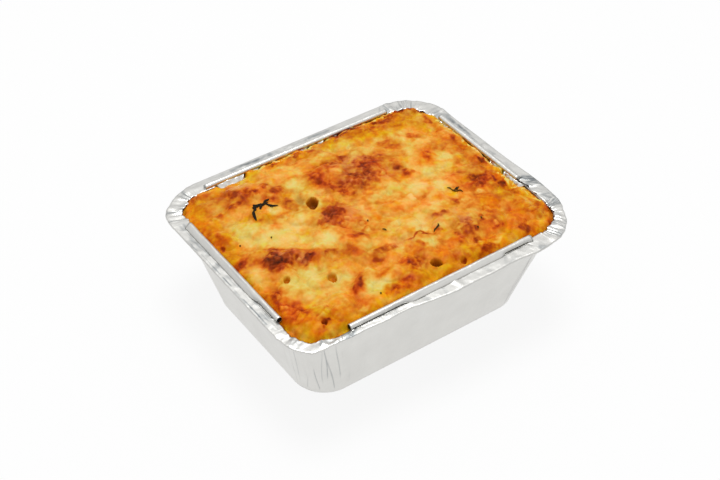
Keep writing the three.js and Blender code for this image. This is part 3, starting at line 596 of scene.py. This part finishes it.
RUDDY = (  # cheese that has fried to a redder orange; depth 1 is the reddest
    (43, 15, 4, 5, 0.9), (30, -6, 20, 8, 0.45, -5), (13, -4, 7, 6, 0.6), (23, -9, 6, 5, 0.6),
    (-12, -43, 4, 3, 0.6), (41, -39, 8, 4, 0.7), (-30, -37, 6, 3, 0.6, 50), (-15, -30, 11, 4, 0.5),
    (-5, 26, 4, 4, 0.6), (-16, -13, 4, 6, 0.5), (-6, -36, 4, 5, 0.5), (-27, -45, 13, 3, 0.5),
    (55, -12, 6, 4, 0.5), (53, -40, 6, 8, 0.5), (14, -37, 12, 3, 0.5), (-61, -29, 3, 8, 0.6),
    (35, 10, 12, 9, 0.25), (-12, 3, 8, 8, 0.5), (45, -27, 5, 4, 0.5))
OLIVE = (  # greener, where sauce shows through; depth 1 is the greenest
    (-52, 40, 8, 7, 0.5), (22, 46, 20, 5, 0.6), (55, 42, 7, 8, 0.6), (-45, -22, 11, 7, 0.4),
    (-15, 30, 5, 5, 0.5), (-21, 18, 6, 4, 0.5), (-35, -32, 8, 5, 0.3), (-24, -42, 7, 3, 0.5),
    (14, 35, 8, 4, 0.4), (-49, 14, 8, 5, 0.3), (59, -44, 4, 4, 0.5), (41, 41, 8, 4, 0.4),
    (54, -22, 4, 4, 0.6), (17, -47, 6, 3, 0.4), (-50, -4, 4, 3, 0.5))
SHEEN_PATCHES = (  # painted sheen: greyish pink highlights over browned blisters; depth 1 is the strongest
    (-5, 3, 6, 7, 0.8), (-14, 7, 6, 5, 0.8), (12, 31, 12, 5, 0.7), (10, 21, 9, 6, 0.8),
    (-45, -2, 7, 4, 1, -30), (-37, -9, 5, 3, 0.7, -20), (19, -21, 8, 3, 0.7), (30, -25, 4, 7, 0.9),
    (-58, -3, 4, 3, 0.6), (0, -23, 6, 4, 0.6), (33, 0, 5, 5, 0.4), (-36, 44, 5, 4, 0.8),
    (-10, 20, 5, 4, 0.5), (23, 16, 6, 4, 0.6), (-22, 40, 4, 3, 0.6), (-8, -1, 4, 4, 0.4))
BLISTERS = (  # the largest, each a browned ring round a top painted pale as a highlight: x, y, radius
    (-58, -36, 2.1), (-61, -29.5, 2), (-58.5, -22.5, 1.7), (-47.5, -41, 2.7), (-51.5, -42, 2),
    (43.5, -28, 2.2), (47, -17, 2.8), (31, -30, 3), (39.5, -36, 1.8), (58, -37, 2.2),
    (27, -44.5, 2.4), (-4.5, 32.5, 2.4), (6, 31.5, 3), (-8.1, 1, 1.9), (-5.2, -5.1, 1.5),
    (-5.8, -9.8, 1.6), (-12.8, -2.1, 1.8), (21, 17, 1.9), (20.5, -3.5, 2.5), (-46, -4, 1.9),
    (-39, -8.5, 1.5))
FOLD_FROM, FOLD_ALONG, FOLD_LENGTH = (-48.5, 5.2), (0.817, -0.576), 20.0  # a straight crease
TOAST_LIMIT = 1.3  # charred; the colour ramp runs from 0 to this
DROP = 3.2  # how much lower the edge lies where the crust has shrunk from the wall


def fill_outline(height, gap):
    return inset(wall_outline(height), gap)


SURFACE = fill_outline(FILL_EDGE, FILL_GAP)


def edge_distance(x, y):
    """How far inside the crust's edge each place lies."""
    qx, qy = np.abs(x) - SURFACE[0] + SURFACE[2], np.abs(y) - SURFACE[1] + SURFACE[2]
    outside = np.hypot(np.maximum(qx, 0), np.maximum(qy, 0))
    return SURFACE[2] - outside - np.minimum(np.maximum(qx, qy), 0)


def lay_elbows():
    """The pasta elbows just under the cheese: a bent line and a lift for each."""
    state = 29

    def draw():
        nonlocal state
        state = state * 16807 % 2147483647
        return state / 2147483647

    columns, rows = (math.ceil(2 * half / ELBOW_PITCH) for half in ELBOW_FIELD)
    elbows = []
    for r in range(rows):
        for c in range(columns):
            x = (c + 0.5 - columns / 2 + 0.7 * (draw() - 0.5)) * ELBOW_PITCH
            y = (r + 0.5 - rows / 2 + 0.7 * (draw() - 0.5)) * ELBOW_PITCH
            heading = draw() * math.pi
            sign = -1 if draw() < 0.5 else 1
            bend = sign * (0.25 + 0.4 * draw())
            lift = 0.9 + 1.3 * draw()
            line = []
            for step in (-0.5, -0.17, 0.17, 0.5):
                run = step * (ELBOW_LENGTH - ELBOW_WIDTH)
                side = bend * (0.25 - step * step) * ELBOW_LENGTH
                line.append((x + run * math.cos(heading) - side * math.sin(heading),
                             y + run * math.sin(heading) + side * math.cos(heading)))
            elbows.append((line, lift))
    return elbows


def elbow_relief(x, y):
    """How far the elbows below raise the cheese over them."""
    height = np.zeros_like(x)
    for line, lift in lay_elbows():
        near = np.full_like(x, 1e9)
        for (ax, ay), (bx, by) in zip(line, line[1:]):
            dx, dy = bx - ax, by - ay
            t = np.clip(((x - ax) * dx + (y - ay) * dy) / (dx * dx + dy * dy), 0, 1)
            near = np.minimum(near, np.hypot(x - ax - t * dx, y - ay - t * dy))
        d = near / (ELBOW_WIDTH / 2)
        height = np.maximum(height, lift * np.sqrt(np.clip(1 - d * d, 0, 1)))
    return height


def blisters(x, y, size, seed):
    """Round bubbles of mixed size, 0 between them and 1 on their tops."""
    rng = np.random.default_rng(seed)
    jitter = rng.uniform(0.1, 0.9, (128, 128, 2))
    reach = rng.uniform(0.35, 0.8, (128, 128))
    u, v = x / size + 50.5, y / size + 50.5
    i, j = np.floor(u).astype(int), np.floor(v).astype(int)
    top = np.zeros_like(x)
    for di in (-1, 0, 1):
        for dj in (-1, 0, 1):
            ci, cj = (i + di) % 128, (j + dj) % 128
            d = np.hypot(i + di + jitter[ci, cj, 0] - u, j + dj + jitter[ci, cj, 1] - v)
            top = np.maximum(top, 1 - (d / reach[ci, cj]) ** 2)
    return np.clip(top, 0, 1) ** 1.7


def uneven(*layers):
    """Smooth random relief over the crust, from its layers' weights, sizes and seeds."""
    return sum(weight * lattice(x, y, size, seed) for weight, size, seed in layers)


def from_line(x, y, at, along):
    """How far each place lies along a line through a point, and how far to its left."""
    u, v = x - at[0], y - at[1]
    return u * along[0] + v * along[1], v * along[0] - u * along[1]


def direction(angle):
    return math.cos(angle), math.sin(angle)


def patches(places, core, fade, least=0.0):
    """Soft-edged ellipses whose borders wander; the deepest one at each place counts."""
    total = np.zeros_like(x)
    for at_x, at_y, long, wide, depth, *heading in places:
        along = direction(math.radians(sum(heading)))
        u, v = from_line(plane_x, plane_y, (at_x, at_y), along)
        shade = 1 - ramp(core, fade, np.hypot(u / long, v / wide))
        total = np.maximum(total, (depth - least) * shade)
    return total


def edge_point(outline, s, t):
    """The point of a rounded rectangle that faces (s, t) on the edge of a square."""
    flat = np.abs(s) > np.abs(t)
    far, near = np.where(flat, outline[0], outline[1]), np.where(flat, outline[1], outline[0])
    q = np.where(flat, t, s)
    straight = near - outline[2]
    run = np.abs(q) * (straight + outline[2] * math.pi / 4)
    turn = np.maximum(0, run - straight) / outline[2]
    side = np.sign(q) * (np.minimum(run, straight) + outline[2] * np.sin(turn))
    reach = far - outline[2] + outline[2] * np.cos(turn)
    return np.where(flat, np.sign(s) * reach, side), np.where(flat, side, np.sign(t) * reach)


def fill_edge(outline, height, s, t):
    """The filling's outline at a height, pushed out where the wall is."""
    rim_x, rim_y = edge_point(RIM, s, t)
    x, y = edge_point(outline, s, t)
    bulge = np.maximum(0, bumps(rim_x, rim_y, DENTS)) * BULGE * (height / RIM_HEIGHT) ** 1.6
    away = bulge / np.maximum(1, np.hypot(rim_x - x, rim_y - y))
    return x + (rim_x - x) * away, y + (rim_y - y) * away


s, t = np.meshgrid(np.linspace(-1, 1, GRID_X + 1), np.linspace(-1, 1, GRID_Y + 1))
m = np.maximum(np.maximum(np.abs(s), np.abs(t)), 1e-9)
edge_x, edge_y = fill_edge(SURFACE, FILL_EDGE, s / m, t / m)
x, y = edge_x * m, edge_y * m
e = edge_distance(x, y)
for side, low, high, back in GAPS:
    along, facing = SIDES[side][:2]
    place, out = ((x, y), (y, x))[along]
    window = ramp(low - 1, low + 1, place) * (1 - ramp(high - 1, high + 1, place))
    window = window * (out * facing > 30)
    step_in = -facing * 0.37 * back * window * (1 - ramp(0, 4, e))  # the wall slopes in
    x, y = (x, y + step_in) if along == 0 else (x + step_in, y)
    e = e - back * window
wavy = e + uneven((0.40, 4.2, 57), (0.30, 1.9, 58))
wavy = wavy - 2.4 * ramp(50, 55, x) * ramp(36.5, 41, y)  # it lies under the far corner's lip
drop = DROP * ramp(0, 1.6, -e)
shelf = FILL_EDGE + 1.4 * ramp(0.4, 1.7, wavy) + 0.65 * ramp(1.45, 2.7, wavy) - drop
dome = FILL_DOME * (1 - (x / SURFACE[0]) ** 2) * (1 - (y / SURFACE[1]) ** 2)
ridges = 0
for at_x, at_y, long, wide, heading, high in RIDGES:
    u, v = from_line(x, y, (at_x, at_y), direction(math.radians(heading)))
    ridges = ridges + high * np.exp(-(u / long) ** 2 - (v / wide) ** 2)
mound = ridges + bumps(x, y, MOUNDS)
elbow = elbow_relief(x, y)
z = shelf + ramp(0, 6, e) * dome + ramp(0.5, 5, e) * (0.75 * elbow + mound)

level_x, level_y = x - (z - PLANE) * SLIDE[0], y - (z - PLANE) * SLIDE[1]
plane_x = level_x + uneven((0.9, 4.5, 31), (0.5, 1.8, 33))
plane_y = level_y + uneven((0.9, 4.5, 32), (0.5, 1.8, 34))
warm = patches(WARM, 0.3, 1.5, GROUND)
browned = patches(BROWNED, 0.5, 1.55, GROUND)
pale = patches(PALE, 0.4, 1.35) * (1 - 0.7 * ramp(0.2, 0.5, browned))
oily = 1.5 * patches(OILY, 0.2, 1.5) + 0.75 * (1 - ramp(1.0, 11, e + uneven((3.0, 7, 35))))
oily = oily + 0.12 + uneven((0.34, 3.6, 36), (0.34, 1.6, 37)) - 0.40 * pale
oily = oily * (1 - 0.4 * np.minimum(pale, 1))
ruddy = RUDDINESS + 0.8 * patches(RUDDY, 0.2, 1.5) - 0.8 * patches(OLIVE, 0.2, 1.5)
ruddy = np.clip(ruddy + uneven((0.22, 5.0, 61), (0.22, 2.0, 62)), 0, 1)
crusty = ramp(0.12, 0.5, np.maximum(browned, 0.6 * warm))
tops, rings = np.zeros_like(x), np.zeros_like(x)
for at_x, at_y, radius in BLISTERS:
    d = np.hypot(plane_x - at_x, plane_y - at_y) / radius
    tops = np.maximum(tops, 1 - ramp(0.3, 1.0, d))
    rings = np.maximum(rings, np.exp(-((d - 1.05) / 0.28) ** 2))

# One elbow lies over the browned streak, and its straight edge cuts the browning off.
along_fold, over_fold = from_line(level_x + uneven((0.15, 2.5, 59)),
                                  level_y + uneven((0.15, 2.5, 60)), FOLD_FROM, FOLD_ALONG)
folded = ramp(-3, 1, along_fold) * (1 - ramp(FOLD_LENGTH - 1, FOLD_LENGTH + 4, along_fold))
beyond_fold = folded * ramp(-0.4, 0.3, over_fold) * (1 - ramp(3.5, 6, over_fold))
# Along the fold the crust is grooved, and below it is also toasted darker: painted shade where the
# overlapping elbow shades it.
in_fold = folded * np.exp(-((over_fold + 0.6) / 0.55) ** 2)

# Painted sheen: greyish pink highlights laid into the colour over browned blisters, with less oil
# there.
sheen_spread = patches(SHEEN_PATCHES, 0.3, 1.5)
painted_sheen = sheen_spread * np.clip(0.55 + uneven((0.7, 1.7, 63)), 0, 1)
oily = oily - 0.5 * sheen_spread

# Fine relief: blisters where the crust has browned, a smooth skin where it is pale.
relief = uneven((0.30, 6.5, 41)) + uneven((0.13, 3.0, 42)) * (1 - 0.5 * pale)
bx, by = x + uneven((0.9, 2.2, 49)), y + uneven((0.9, 2.2, 50))
bubbles = 0.42 * blisters(bx, by, 3.9, 43) + 0.34 * blisters(bx, by, 2.1, 44)
bubbles = bubbles + 0.20 * blisters(bx, by, 1.3, 45)
relief = relief + 0.32 * tops - 0.10 * rings - 0.30 * in_fold
relief = relief + crusty * (bubbles - 0.1) + 0.07 * (1 - crusty) * blisters(bx, by, 2.8, 46)
relief = relief + uneven((1, 0.9, 47)) * (0.02 + 0.06 * crusty)
rim_crust = 1 - ramp(1.0, 5.0, e)
relief = relief + rim_crust * 0.35 * (blisters(x, y, 2.2, 48) - 0.2)
z = z + ramp(0.0, 1.5, e) * relief

# Open ends of elbows: a thick rounded lip and a steep bore. Inside each, the colour is painted
# darker as shade, a little less dark on one side as painted light.
bore_shade = np.zeros_like(x)
for at_x, at_y, bore, heading, tilt, dark in OPEN_ENDS:
    u, v = from_line(x, y, (at_x, at_y), direction(heading))
    d = np.hypot(u * math.cos(tilt * 0.5), v) / bore * (1 + uneven((0.05, 2.2, 54)))
    lip = 0.2 * np.exp(-((d - 1.3) / 0.35) ** 2) * min(bore / 2, 1)
    z = z + lip - (1 - ramp(0.68, 1.0, d)) * (1.2 + 1.2 * bore) * (0.45 + 0.65 * dark)
    # Painted light: the shade inside each bore is made lighter towards one side, as if light fell
    # in there.
    lit_side = 1 - ramp(-0.7, 0.6, (0.82 * (x - at_x) - 0.58 * (y - at_y)) / bore)
    bore_shade = np.maximum(bore_shade, dark * (1 - ramp(0.7, 1.08, d)) * (1 - 0.35 * lit_side))
in_hole = ramp(0.05, 0.2, bore_shade)
along, across = from_line(x, y, GROOVE_AT, GROOVE_ALONG)
groove = np.exp(-(along / 4.6) ** 2 - (across / 2.0) ** 2)
z = z - 0.9 * groove
# The groove beside the widest end is painted darker too: painted shade.
bore_shade = np.maximum(bore_shade, 0.42 * ramp(0.1, 0.9, groove))
z = np.where(m > 1 - 1e-9, FILL_EDGE - drop, z)

# How far each place has toasted: 0 just melted, 1 dark brown.
toast = GROUND + 1.08 * np.maximum(warm, browned) - 0.23 * pale
mottle = uneven((0.6, 5.0, 55), (0.65, 2.6, 51), (0.50, 1.3, 52), (0.34, 0.8, 53))
toast = toast + mottle * (0.105 + 0.105 * crusty) * (1 - 0.5 * np.minimum(pale, 1))
# Painted highlight and shade: browned bubbles are toasted paler on their tops and darker between
# them.
toast = toast - 0.20 * crusty * (bubbles - 0.35) + 0.08 * rim_crust
# Blister rings are browned; their tops are painted paler, a painted highlight, and the fold line
# darker, painted shade.
toast = toast + 0.12 * rings - 0.14 * tops + 0.16 * in_fold
toast = toast - 0.85 * beyond_fold * np.maximum(toast - 0.28, 0)
toast = toast + 0.18 * (1 - ramp(1.4, 2.8, e)) * ramp(48, 56, x) * ramp(-20, -34, y)
flakes = ramp(0.5, 1.2, e) * (1 - ramp(3.0, 4.6, e)) * ramp(0.3, 0.55, uneven((1, 1.3, 56)))
flakes = flakes * ramp(10, 40, x + y)
toast = np.maximum(toast - 0.6 * flakes, 0.50 * in_hole)
oily = np.clip((oily - 0.5 * crusty * bubbles - 0.4 * tops) * (1 - 0.9 * flakes), 0, 1)
oily = oily + (0.95 - oily) * in_hole
ruddy = ruddy + (0.5 - ruddy) * in_hole - 0.5 * groove
toast = np.clip(toast, 0, TOAST_LIMIT)
painted_sheen = painted_sheen * (1 - 0.85 * ramp(0.55, 0.80, toast))

count = z.size
fill_points = [np.stack([x.ravel(), y.ravel(), z.ravel()], -1)]
index = np.arange(count).reshape(z.shape)
quads = np.stack([index[:-1, :-1], index[:-1, 1:], index[1:, 1:], index[1:, :-1]], -1)
fill_faces = [tuple(q) for q in quads.reshape(-1, 4).tolist()]
border = np.concatenate([index[0, :-1], index[:-1, -1], index[-1, :0:-1], index[:0:-1, 0]])
border_s, border_t = s.ravel()[border], t.ravel()[border]
upper, crust_edge = border, z.ravel()[border]
for height, gap in ((45.0, 0.45), (42.0, 0.9), (30.0, 0.9), (14.0, 0.9), (4.2, 0.9),
                    (FILL_BASE, 3.0)):
    level = np.minimum(height, crust_edge - 0.4)
    outline = fill_outline(np.maximum(level, FOOT_HEIGHT), gap)
    lower_x, lower_y = fill_edge(outline, level, border_s, border_t)
    lower = count + np.arange(len(border))
    count += len(border)
    fill_points.append(np.stack([lower_x, lower_y, level], -1))
    following = np.roll(np.arange(len(border)), -1)
    fill_faces += list(zip(upper.tolist(), lower.tolist(), lower[following].tolist(),
                           upper[following].tolist()))
    upper = lower
fill_faces.append(tuple(upper.tolist()))
fill_points = np.vstack(fill_points)

# Baked cheese: oily and slightly see-through where it is pale, dry and matt where it has browned.
# Its colour follows how far each place has toasted, yellower with oil, redder or greener as it
# fried, with a greyish pink painted sheen on browned blisters and painted shade inside a bore.
FLECK = 1.1 * MM  # width of the fine flecks and pores
FIELDS = {  # name of each field over the crust, its values, and its value below the crust
    "toast": (toast, 0.4), "oil": (oily, 0.0), "ruddy": (ruddy, RUDDINESS),
    "painted_sheen": (painted_sheen, 0.0), "bore": (bore_shade, 0.0)}
cheese_material, tree = new_material("oven_browned_cheese")
place = add_node(tree, "TexCoord").outputs["Object"]
how = {name: add_node(tree, "Attribute", {"attribute_name": name}).outputs["Fac"]
       for name in FIELDS}
sheen_amount = add_node(tree, "Math", {"operation": "MULTIPLY", 1: 0.32}, {0: how["painted_sheen"]})
fleck = add_node(tree, "TexNoise",
                 {"Scale": 1 / FLECK, "Detail": 3.0, "Roughness": 0.6}, {"Vector": place})
speckle = add_node(tree, "Math", {"operation": "MULTIPLY_ADD", 1: 0.20, 2: -0.10}, {0: fleck})
heat = add_node(tree, "Math", {"operation": "ADD"}, {0: how["toast"], 1: speckle})
heat = add_node(tree, "Math", {"operation": "MULTIPLY", 1: 1 / TOAST_LIMIT}, {0: heat})
colour = add_node(tree, "ValToRGB", None, {"Fac": heat}, (
    (0.0, "#C9B068"), (0.10, "#C8A24D"), (0.21, "#C68C36"), (0.32, "#BE751F"),
    (0.45, "#AE5610"), (0.58, "#93390A"), (0.72, "#762806"), (0.86, "#581B06"),
    (1.0, "#300E06")))
buttery = add_node(tree, "Mix",
                   {"data_type": "RGBA", "blend_type": "MULTIPLY", 7: (1.0, 0.98, 0.10, 1.0)},
                   {0: how["oil"], 6: colour})
hue = add_node(tree, "Mix", {"data_type": "RGBA", 6: (0.93, 1.05, 1.0, 1.0),
                             7: (1.13, 0.84, 0.80, 1.0)}, {0: how["ruddy"]})
fried = add_node(tree, "Mix", {"data_type": "RGBA", "blend_type": "MULTIPLY", 0: 1.0},
                 {6: buttery.outputs[2], 7: hue.outputs[2]})
with_sheen = add_node(tree, "Mix", {"data_type": "RGBA", 7: linear("#B87858")},
                   {0: sheen_amount, 6: fried.outputs[2]})
with_bore_shade = add_node(tree, "Mix", {"data_type": "RGBA", 7: linear("#5A2804")},
                 {0: how["bore"], 6: with_sheen.outputs[2]})
shine = add_node(tree, "MapRange", {"To Min": 0.28, "To Max": 0.42}, {"Value": heat})
pores = add_node(tree, "Bump", {"Strength": 0.30, "Distance": 0.4 * MM}, {"Height": fleck})
crust = add_node(tree, "BsdfPrincipled",
                 {"IOR": 1.46, "Specular IOR Level": 0.04, "Subsurface Weight": 0.15,
                  "Subsurface Scale": 1.5 * MM, "Subsurface Radius": (1.0, 0.5, 0.2)},
                 {"Base Color": with_bore_shade.outputs[2], "Roughness": shine, "Normal": pores})
add_node(tree, "OutputMaterial", None, {"Surface": crust})

bake = new_piece("macaroni_cheese_bake", fill_points, fill_faces, cheese_material)
for name, (field, below) in FIELDS.items():
    values = np.full(len(fill_points), below)
    values[:field.size] = field.ravel()
    bake.data.attributes.new(name, "FLOAT", "POINT").data.foreach_set("value", values)
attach(bake, "root")
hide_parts("pasta_bake")

# ---------------------------------------------------------------------------
# Herbs: dried sprigs and flakes strewn over the cheese before baking, and baked into
# it. Each is a few narrow leaves, dark green to charred, lying on the crust.
# ---------------------------------------------------------------------------
SPRIGS = {  # each leaf: from x, y to x, y and how far it bows sideways
    "charred_herb_sprig": ((-31, 28.5, -37, 30.7, 0.9), (-37, 30.7, -39.2, 26.5, 0.5),
                           (-39.2, 27, -41.2, 21.3, -0.4), (-34, 29.8, -36.2, 26.6, 0.3),
                           (-33, 29, -29.6, 30.2, 0.2), (-32.3, 28.2, -28.7, 24.3, -0.4),
                           (-36.5, 29.8, -33.5, 27.8, 0.4), (-38.5, 29.2, -35.0, 29.0, -0.3)),
    "herb_sprig_right": ((36.8, -7.2, 37.6, -9.3, 0.2), (37.6, -9.3, 38.6, -11.4, -0.3),
                         (38.6, -11.4, 40.6, -13.2, 0.3), (38.2, -10.2, 40.6, -9.2, -0.3),
                         (38.9, -11.2, 41.3, -9.6, 0.2)),
    "herb_sprig_front": ((19.2, -23.5, 17.4, -25.4, 0.3), (17.4, -25.4, 14.6, -26.9, -0.3),
                         (17.0, -25.2, 18.8, -25.0, 0.1)),
    "herb_flakes": ((-25.0, -44.6, -24.4, -43.8, 0.1), (-55.8, 11.2, -55.1, 11.8, 0.1),
                    (-42.3, 8.3, -41.6, 8.9, 0.1), (-1.7, -13.2, -0.8, -14.8, 0.2),
                    (-3.7, -5.8, -3.2, -5.0, 0.1), (36.0, -31.4, 36.6, -30.4, 0.1),
                    (31.0, -35.5, 31.6, -34.4, 0.1))}
LEAF_WIDTH, CHARRED_WIDTH = 0.7, 1.3
LEAF_STEPS = 9
LEAF_SECTION = ((-1, 0), (-0.5, 0.14), (0, 0.2), (0.5, 0.14), (1, 0), (0, -0.12))


def crust_height(at_x, at_y):
    """Height of the crust at a place: the mean of the few mesh points nearest to it."""
    near = np.argsort((x - at_x) ** 2 + (y - at_y) ** 2, axis=None)[:5]
    return float(z.ravel()[near].mean())


def on_crust(at_x, at_y):
    """A place on the rim's level plane, slid on to the crust."""
    height = PLANE + 2
    for _ in range(4):
        px, py = at_x + (height - PLANE) * SLIDE[0], at_y + (height - PLANE) * SLIDE[1]
        height = crust_height(px, py)
    return px, py, height


def leaf(x0, y0, x1, y1, bow, width):
    """A narrow lens-shaped leaf, arched over its midrib, as points and faces."""
    points, faces, around = [], [], len(LEAF_SECTION)
    (ax, ay, _), (bx, by, _) = on_crust(x0, y0), on_crust(x1, y1)
    length = math.hypot(bx - ax, by - ay)
    nx, ny = -(by - ay) / length, (bx - ax) / length
    for k in range(LEAF_STEPS):
        f = k / (LEAF_STEPS - 1)
        half = width * math.sin(math.pi * (0.08 + 0.84 * f)) ** 0.7 / 2
        side = bow * 4 * f * (1 - f)
        cx, cy = ax + (bx - ax) * f + nx * side, ay + (by - ay) * f + ny * side
        lift = crust_height(cx, cy) + 0.22 + 0.25 * math.sin(math.pi * f)
        for across, up in LEAF_SECTION:
            points.append((cx + nx * across * half, cy + ny * across * half, lift + up))
    for k in range(LEAF_STEPS - 1):
        for c in range(around):
            a, b = k * around + c, k * around + (c + 1) % around
            faces.append((a, a + around, b + around, b))
    tip = range((LEAF_STEPS - 1) * around, LEAF_STEPS * around)
    return points, faces + [tuple(range(around - 1, -1, -1)), tuple(tip)]


# Dried leaf: matt, brittle skin, dark olive to black where it has charred.
LEAF_MOTTLE = 1.5 * MM
herb_materials = []
for kind, tints in (("charred_herb_leaf", ("#0E0A05", "#1E170B", "#3A2E10")),
                    ("dried_baked_herb_leaf", ("#241B08", "#41330C", "#5E4E14"))):
    material, tree = new_material(kind)
    place = add_node(tree, "TexCoord").outputs["Object"]
    char = add_node(tree, "TexNoise", {"Scale": 1 / LEAF_MOTTLE, "Detail": 3.0}, {"Vector": place})
    tint = add_node(tree, "ValToRGB", None, {"Fac": char}, tuple(zip((0.35, 0.55, 0.72), tints)))
    veins = add_node(tree, "Bump", {"Strength": 0.3, "Distance": 0.2 * MM}, {"Height": char})
    blade = add_node(tree, "BsdfPrincipled",
                     {"Roughness": 0.7, "IOR": 1.45, "Specular IOR Level": 0.12},
                     {"Base Color": tint, "Normal": veins})
    add_node(tree, "OutputMaterial", None, {"Surface": blade})
    herb_materials.append(material)
for name, leaves in SPRIGS.items():
    charred = name == "charred_herb_sprig"
    points, faces = [], []
    for placed in leaves:
        more, ringed = leaf(*placed, CHARRED_WIDTH if charred else LEAF_WIDTH)
        faces += [tuple(len(points) + v for v in face) for face in ringed]
        points += more
    sprig = new_piece(name, points, faces, herb_materials[0 if charred else 1])
    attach(sprig, "root")

# ---------------------------------------------------------------------------
# Table top: a plain white surface under the tray, wide enough to fill every view.
# It is not part of the meal, and gives the foil something white to mirror.
# ---------------------------------------------------------------------------
TABLE_HALF, TABLE_HEIGHT = 6000, -0.3
# Matt white paint. It glows a little, so that it stays an even white round the tray.
floor_material, tree = new_material("matt_white_table")
place = add_node(tree, "TexCoord").outputs["Object"]
cloud = add_node(tree, "TexNoise", {"Scale": 3.0}, {"Vector": place})
white = add_node(tree, "ValToRGB", None, {"Fac": cloud}, ((0.0, "#505050"), (1.0, "#525252")))
top = add_node(tree, "BsdfPrincipled",
               {"Roughness": 0.95, "IOR": 1.01, "Emission Strength": 0.875,
                "Emission Color": (1, 1, 1, 1)}, {"Base Color": white})
add_node(tree, "OutputMaterial", None, {"Surface": top})
floor = new_piece("table_top", [(TABLE_HALF * sx, TABLE_HALF * sy, TABLE_HEIGHT)
                                for sx, sy in ((-1, -1), (1, -1), (1, 1), (-1, 1))],
                  [(0, 1, 2, 3)], floor_material, smooth=False)
floor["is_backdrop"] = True

# ---------------------------------------------------------------------------
# Light and camera: a white room, softly uneven, with one broad lamp above and
# behind the tray, and a camera that looks down on the tray's near corner.
# ---------------------------------------------------------------------------
room = bpy.data.worlds.new("white_room")
room.use_nodes = True
tree = room.node_tree
tree.nodes.clear()
facing = add_node(tree, "TexCoord").outputs["Generated"]
drift = add_node(tree, "TexNoise", {"Scale": 3.5, "Detail": 2.0}, {"Vector": facing})
upward = add_node(tree, "SeparateXYZ", None, {"Vector": facing}).outputs["Z"]
level = add_node(tree, "MapRange",
                 {"From Min": 0.0, "From Max": 0.45, "To Min": 0.45, "To Max": 0.92},
                 {"Value": upward})
patchy = add_node(tree, "MapRange",
                  {"From Min": 0.35, "From Max": 0.65, "To Min": 0.80, "To Max": 1.10},
                  {"Value": drift})
level = add_node(tree, "Math", {"operation": "MULTIPLY"}, {0: level, 1: patchy})
sky = add_node(tree, "Background", {"Color": (1, 1, 1, 1)}, {"Strength": level})
add_node(tree, "OutputWorld", None, {"Surface": sky})
bpy.context.scene.world = room


def set_up(name, data, at, aim):
    """Places a lamp or a camera at a point and turns it towards another."""
    made = bpy.data.objects.new(name, data)
    made.location = at
    made.rotation_euler = (Vector(aim) - Vector(at)).to_track_quat("-Z", "Y").to_euler()
    bpy.context.scene.collection.objects.link(made)
    return made


softbox = bpy.data.lights.new("overhead_softbox", "AREA")
softbox.shape, softbox.size, softbox.energy = "SQUARE", 0.5, 9.0  # metres and watts
set_up("overhead_softbox", softbox, (0.05, 0.10, 1.2), (0, 0, 0.03))
bpy.context.scene.view_settings.view_transform = "Standard"

lens = bpy.data.cameras.new("camera")
lens.sensor_width, lens.lens = 36.0, 70.38
lens.clip_start, lens.clip_end = 0.01, 20.0
bpy.context.scene.camera = set_up("camera", lens, (-0.26438, -0.36988, 0.42988),
                                  (-0.012489, -0.012497, 0.047))

low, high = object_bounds()
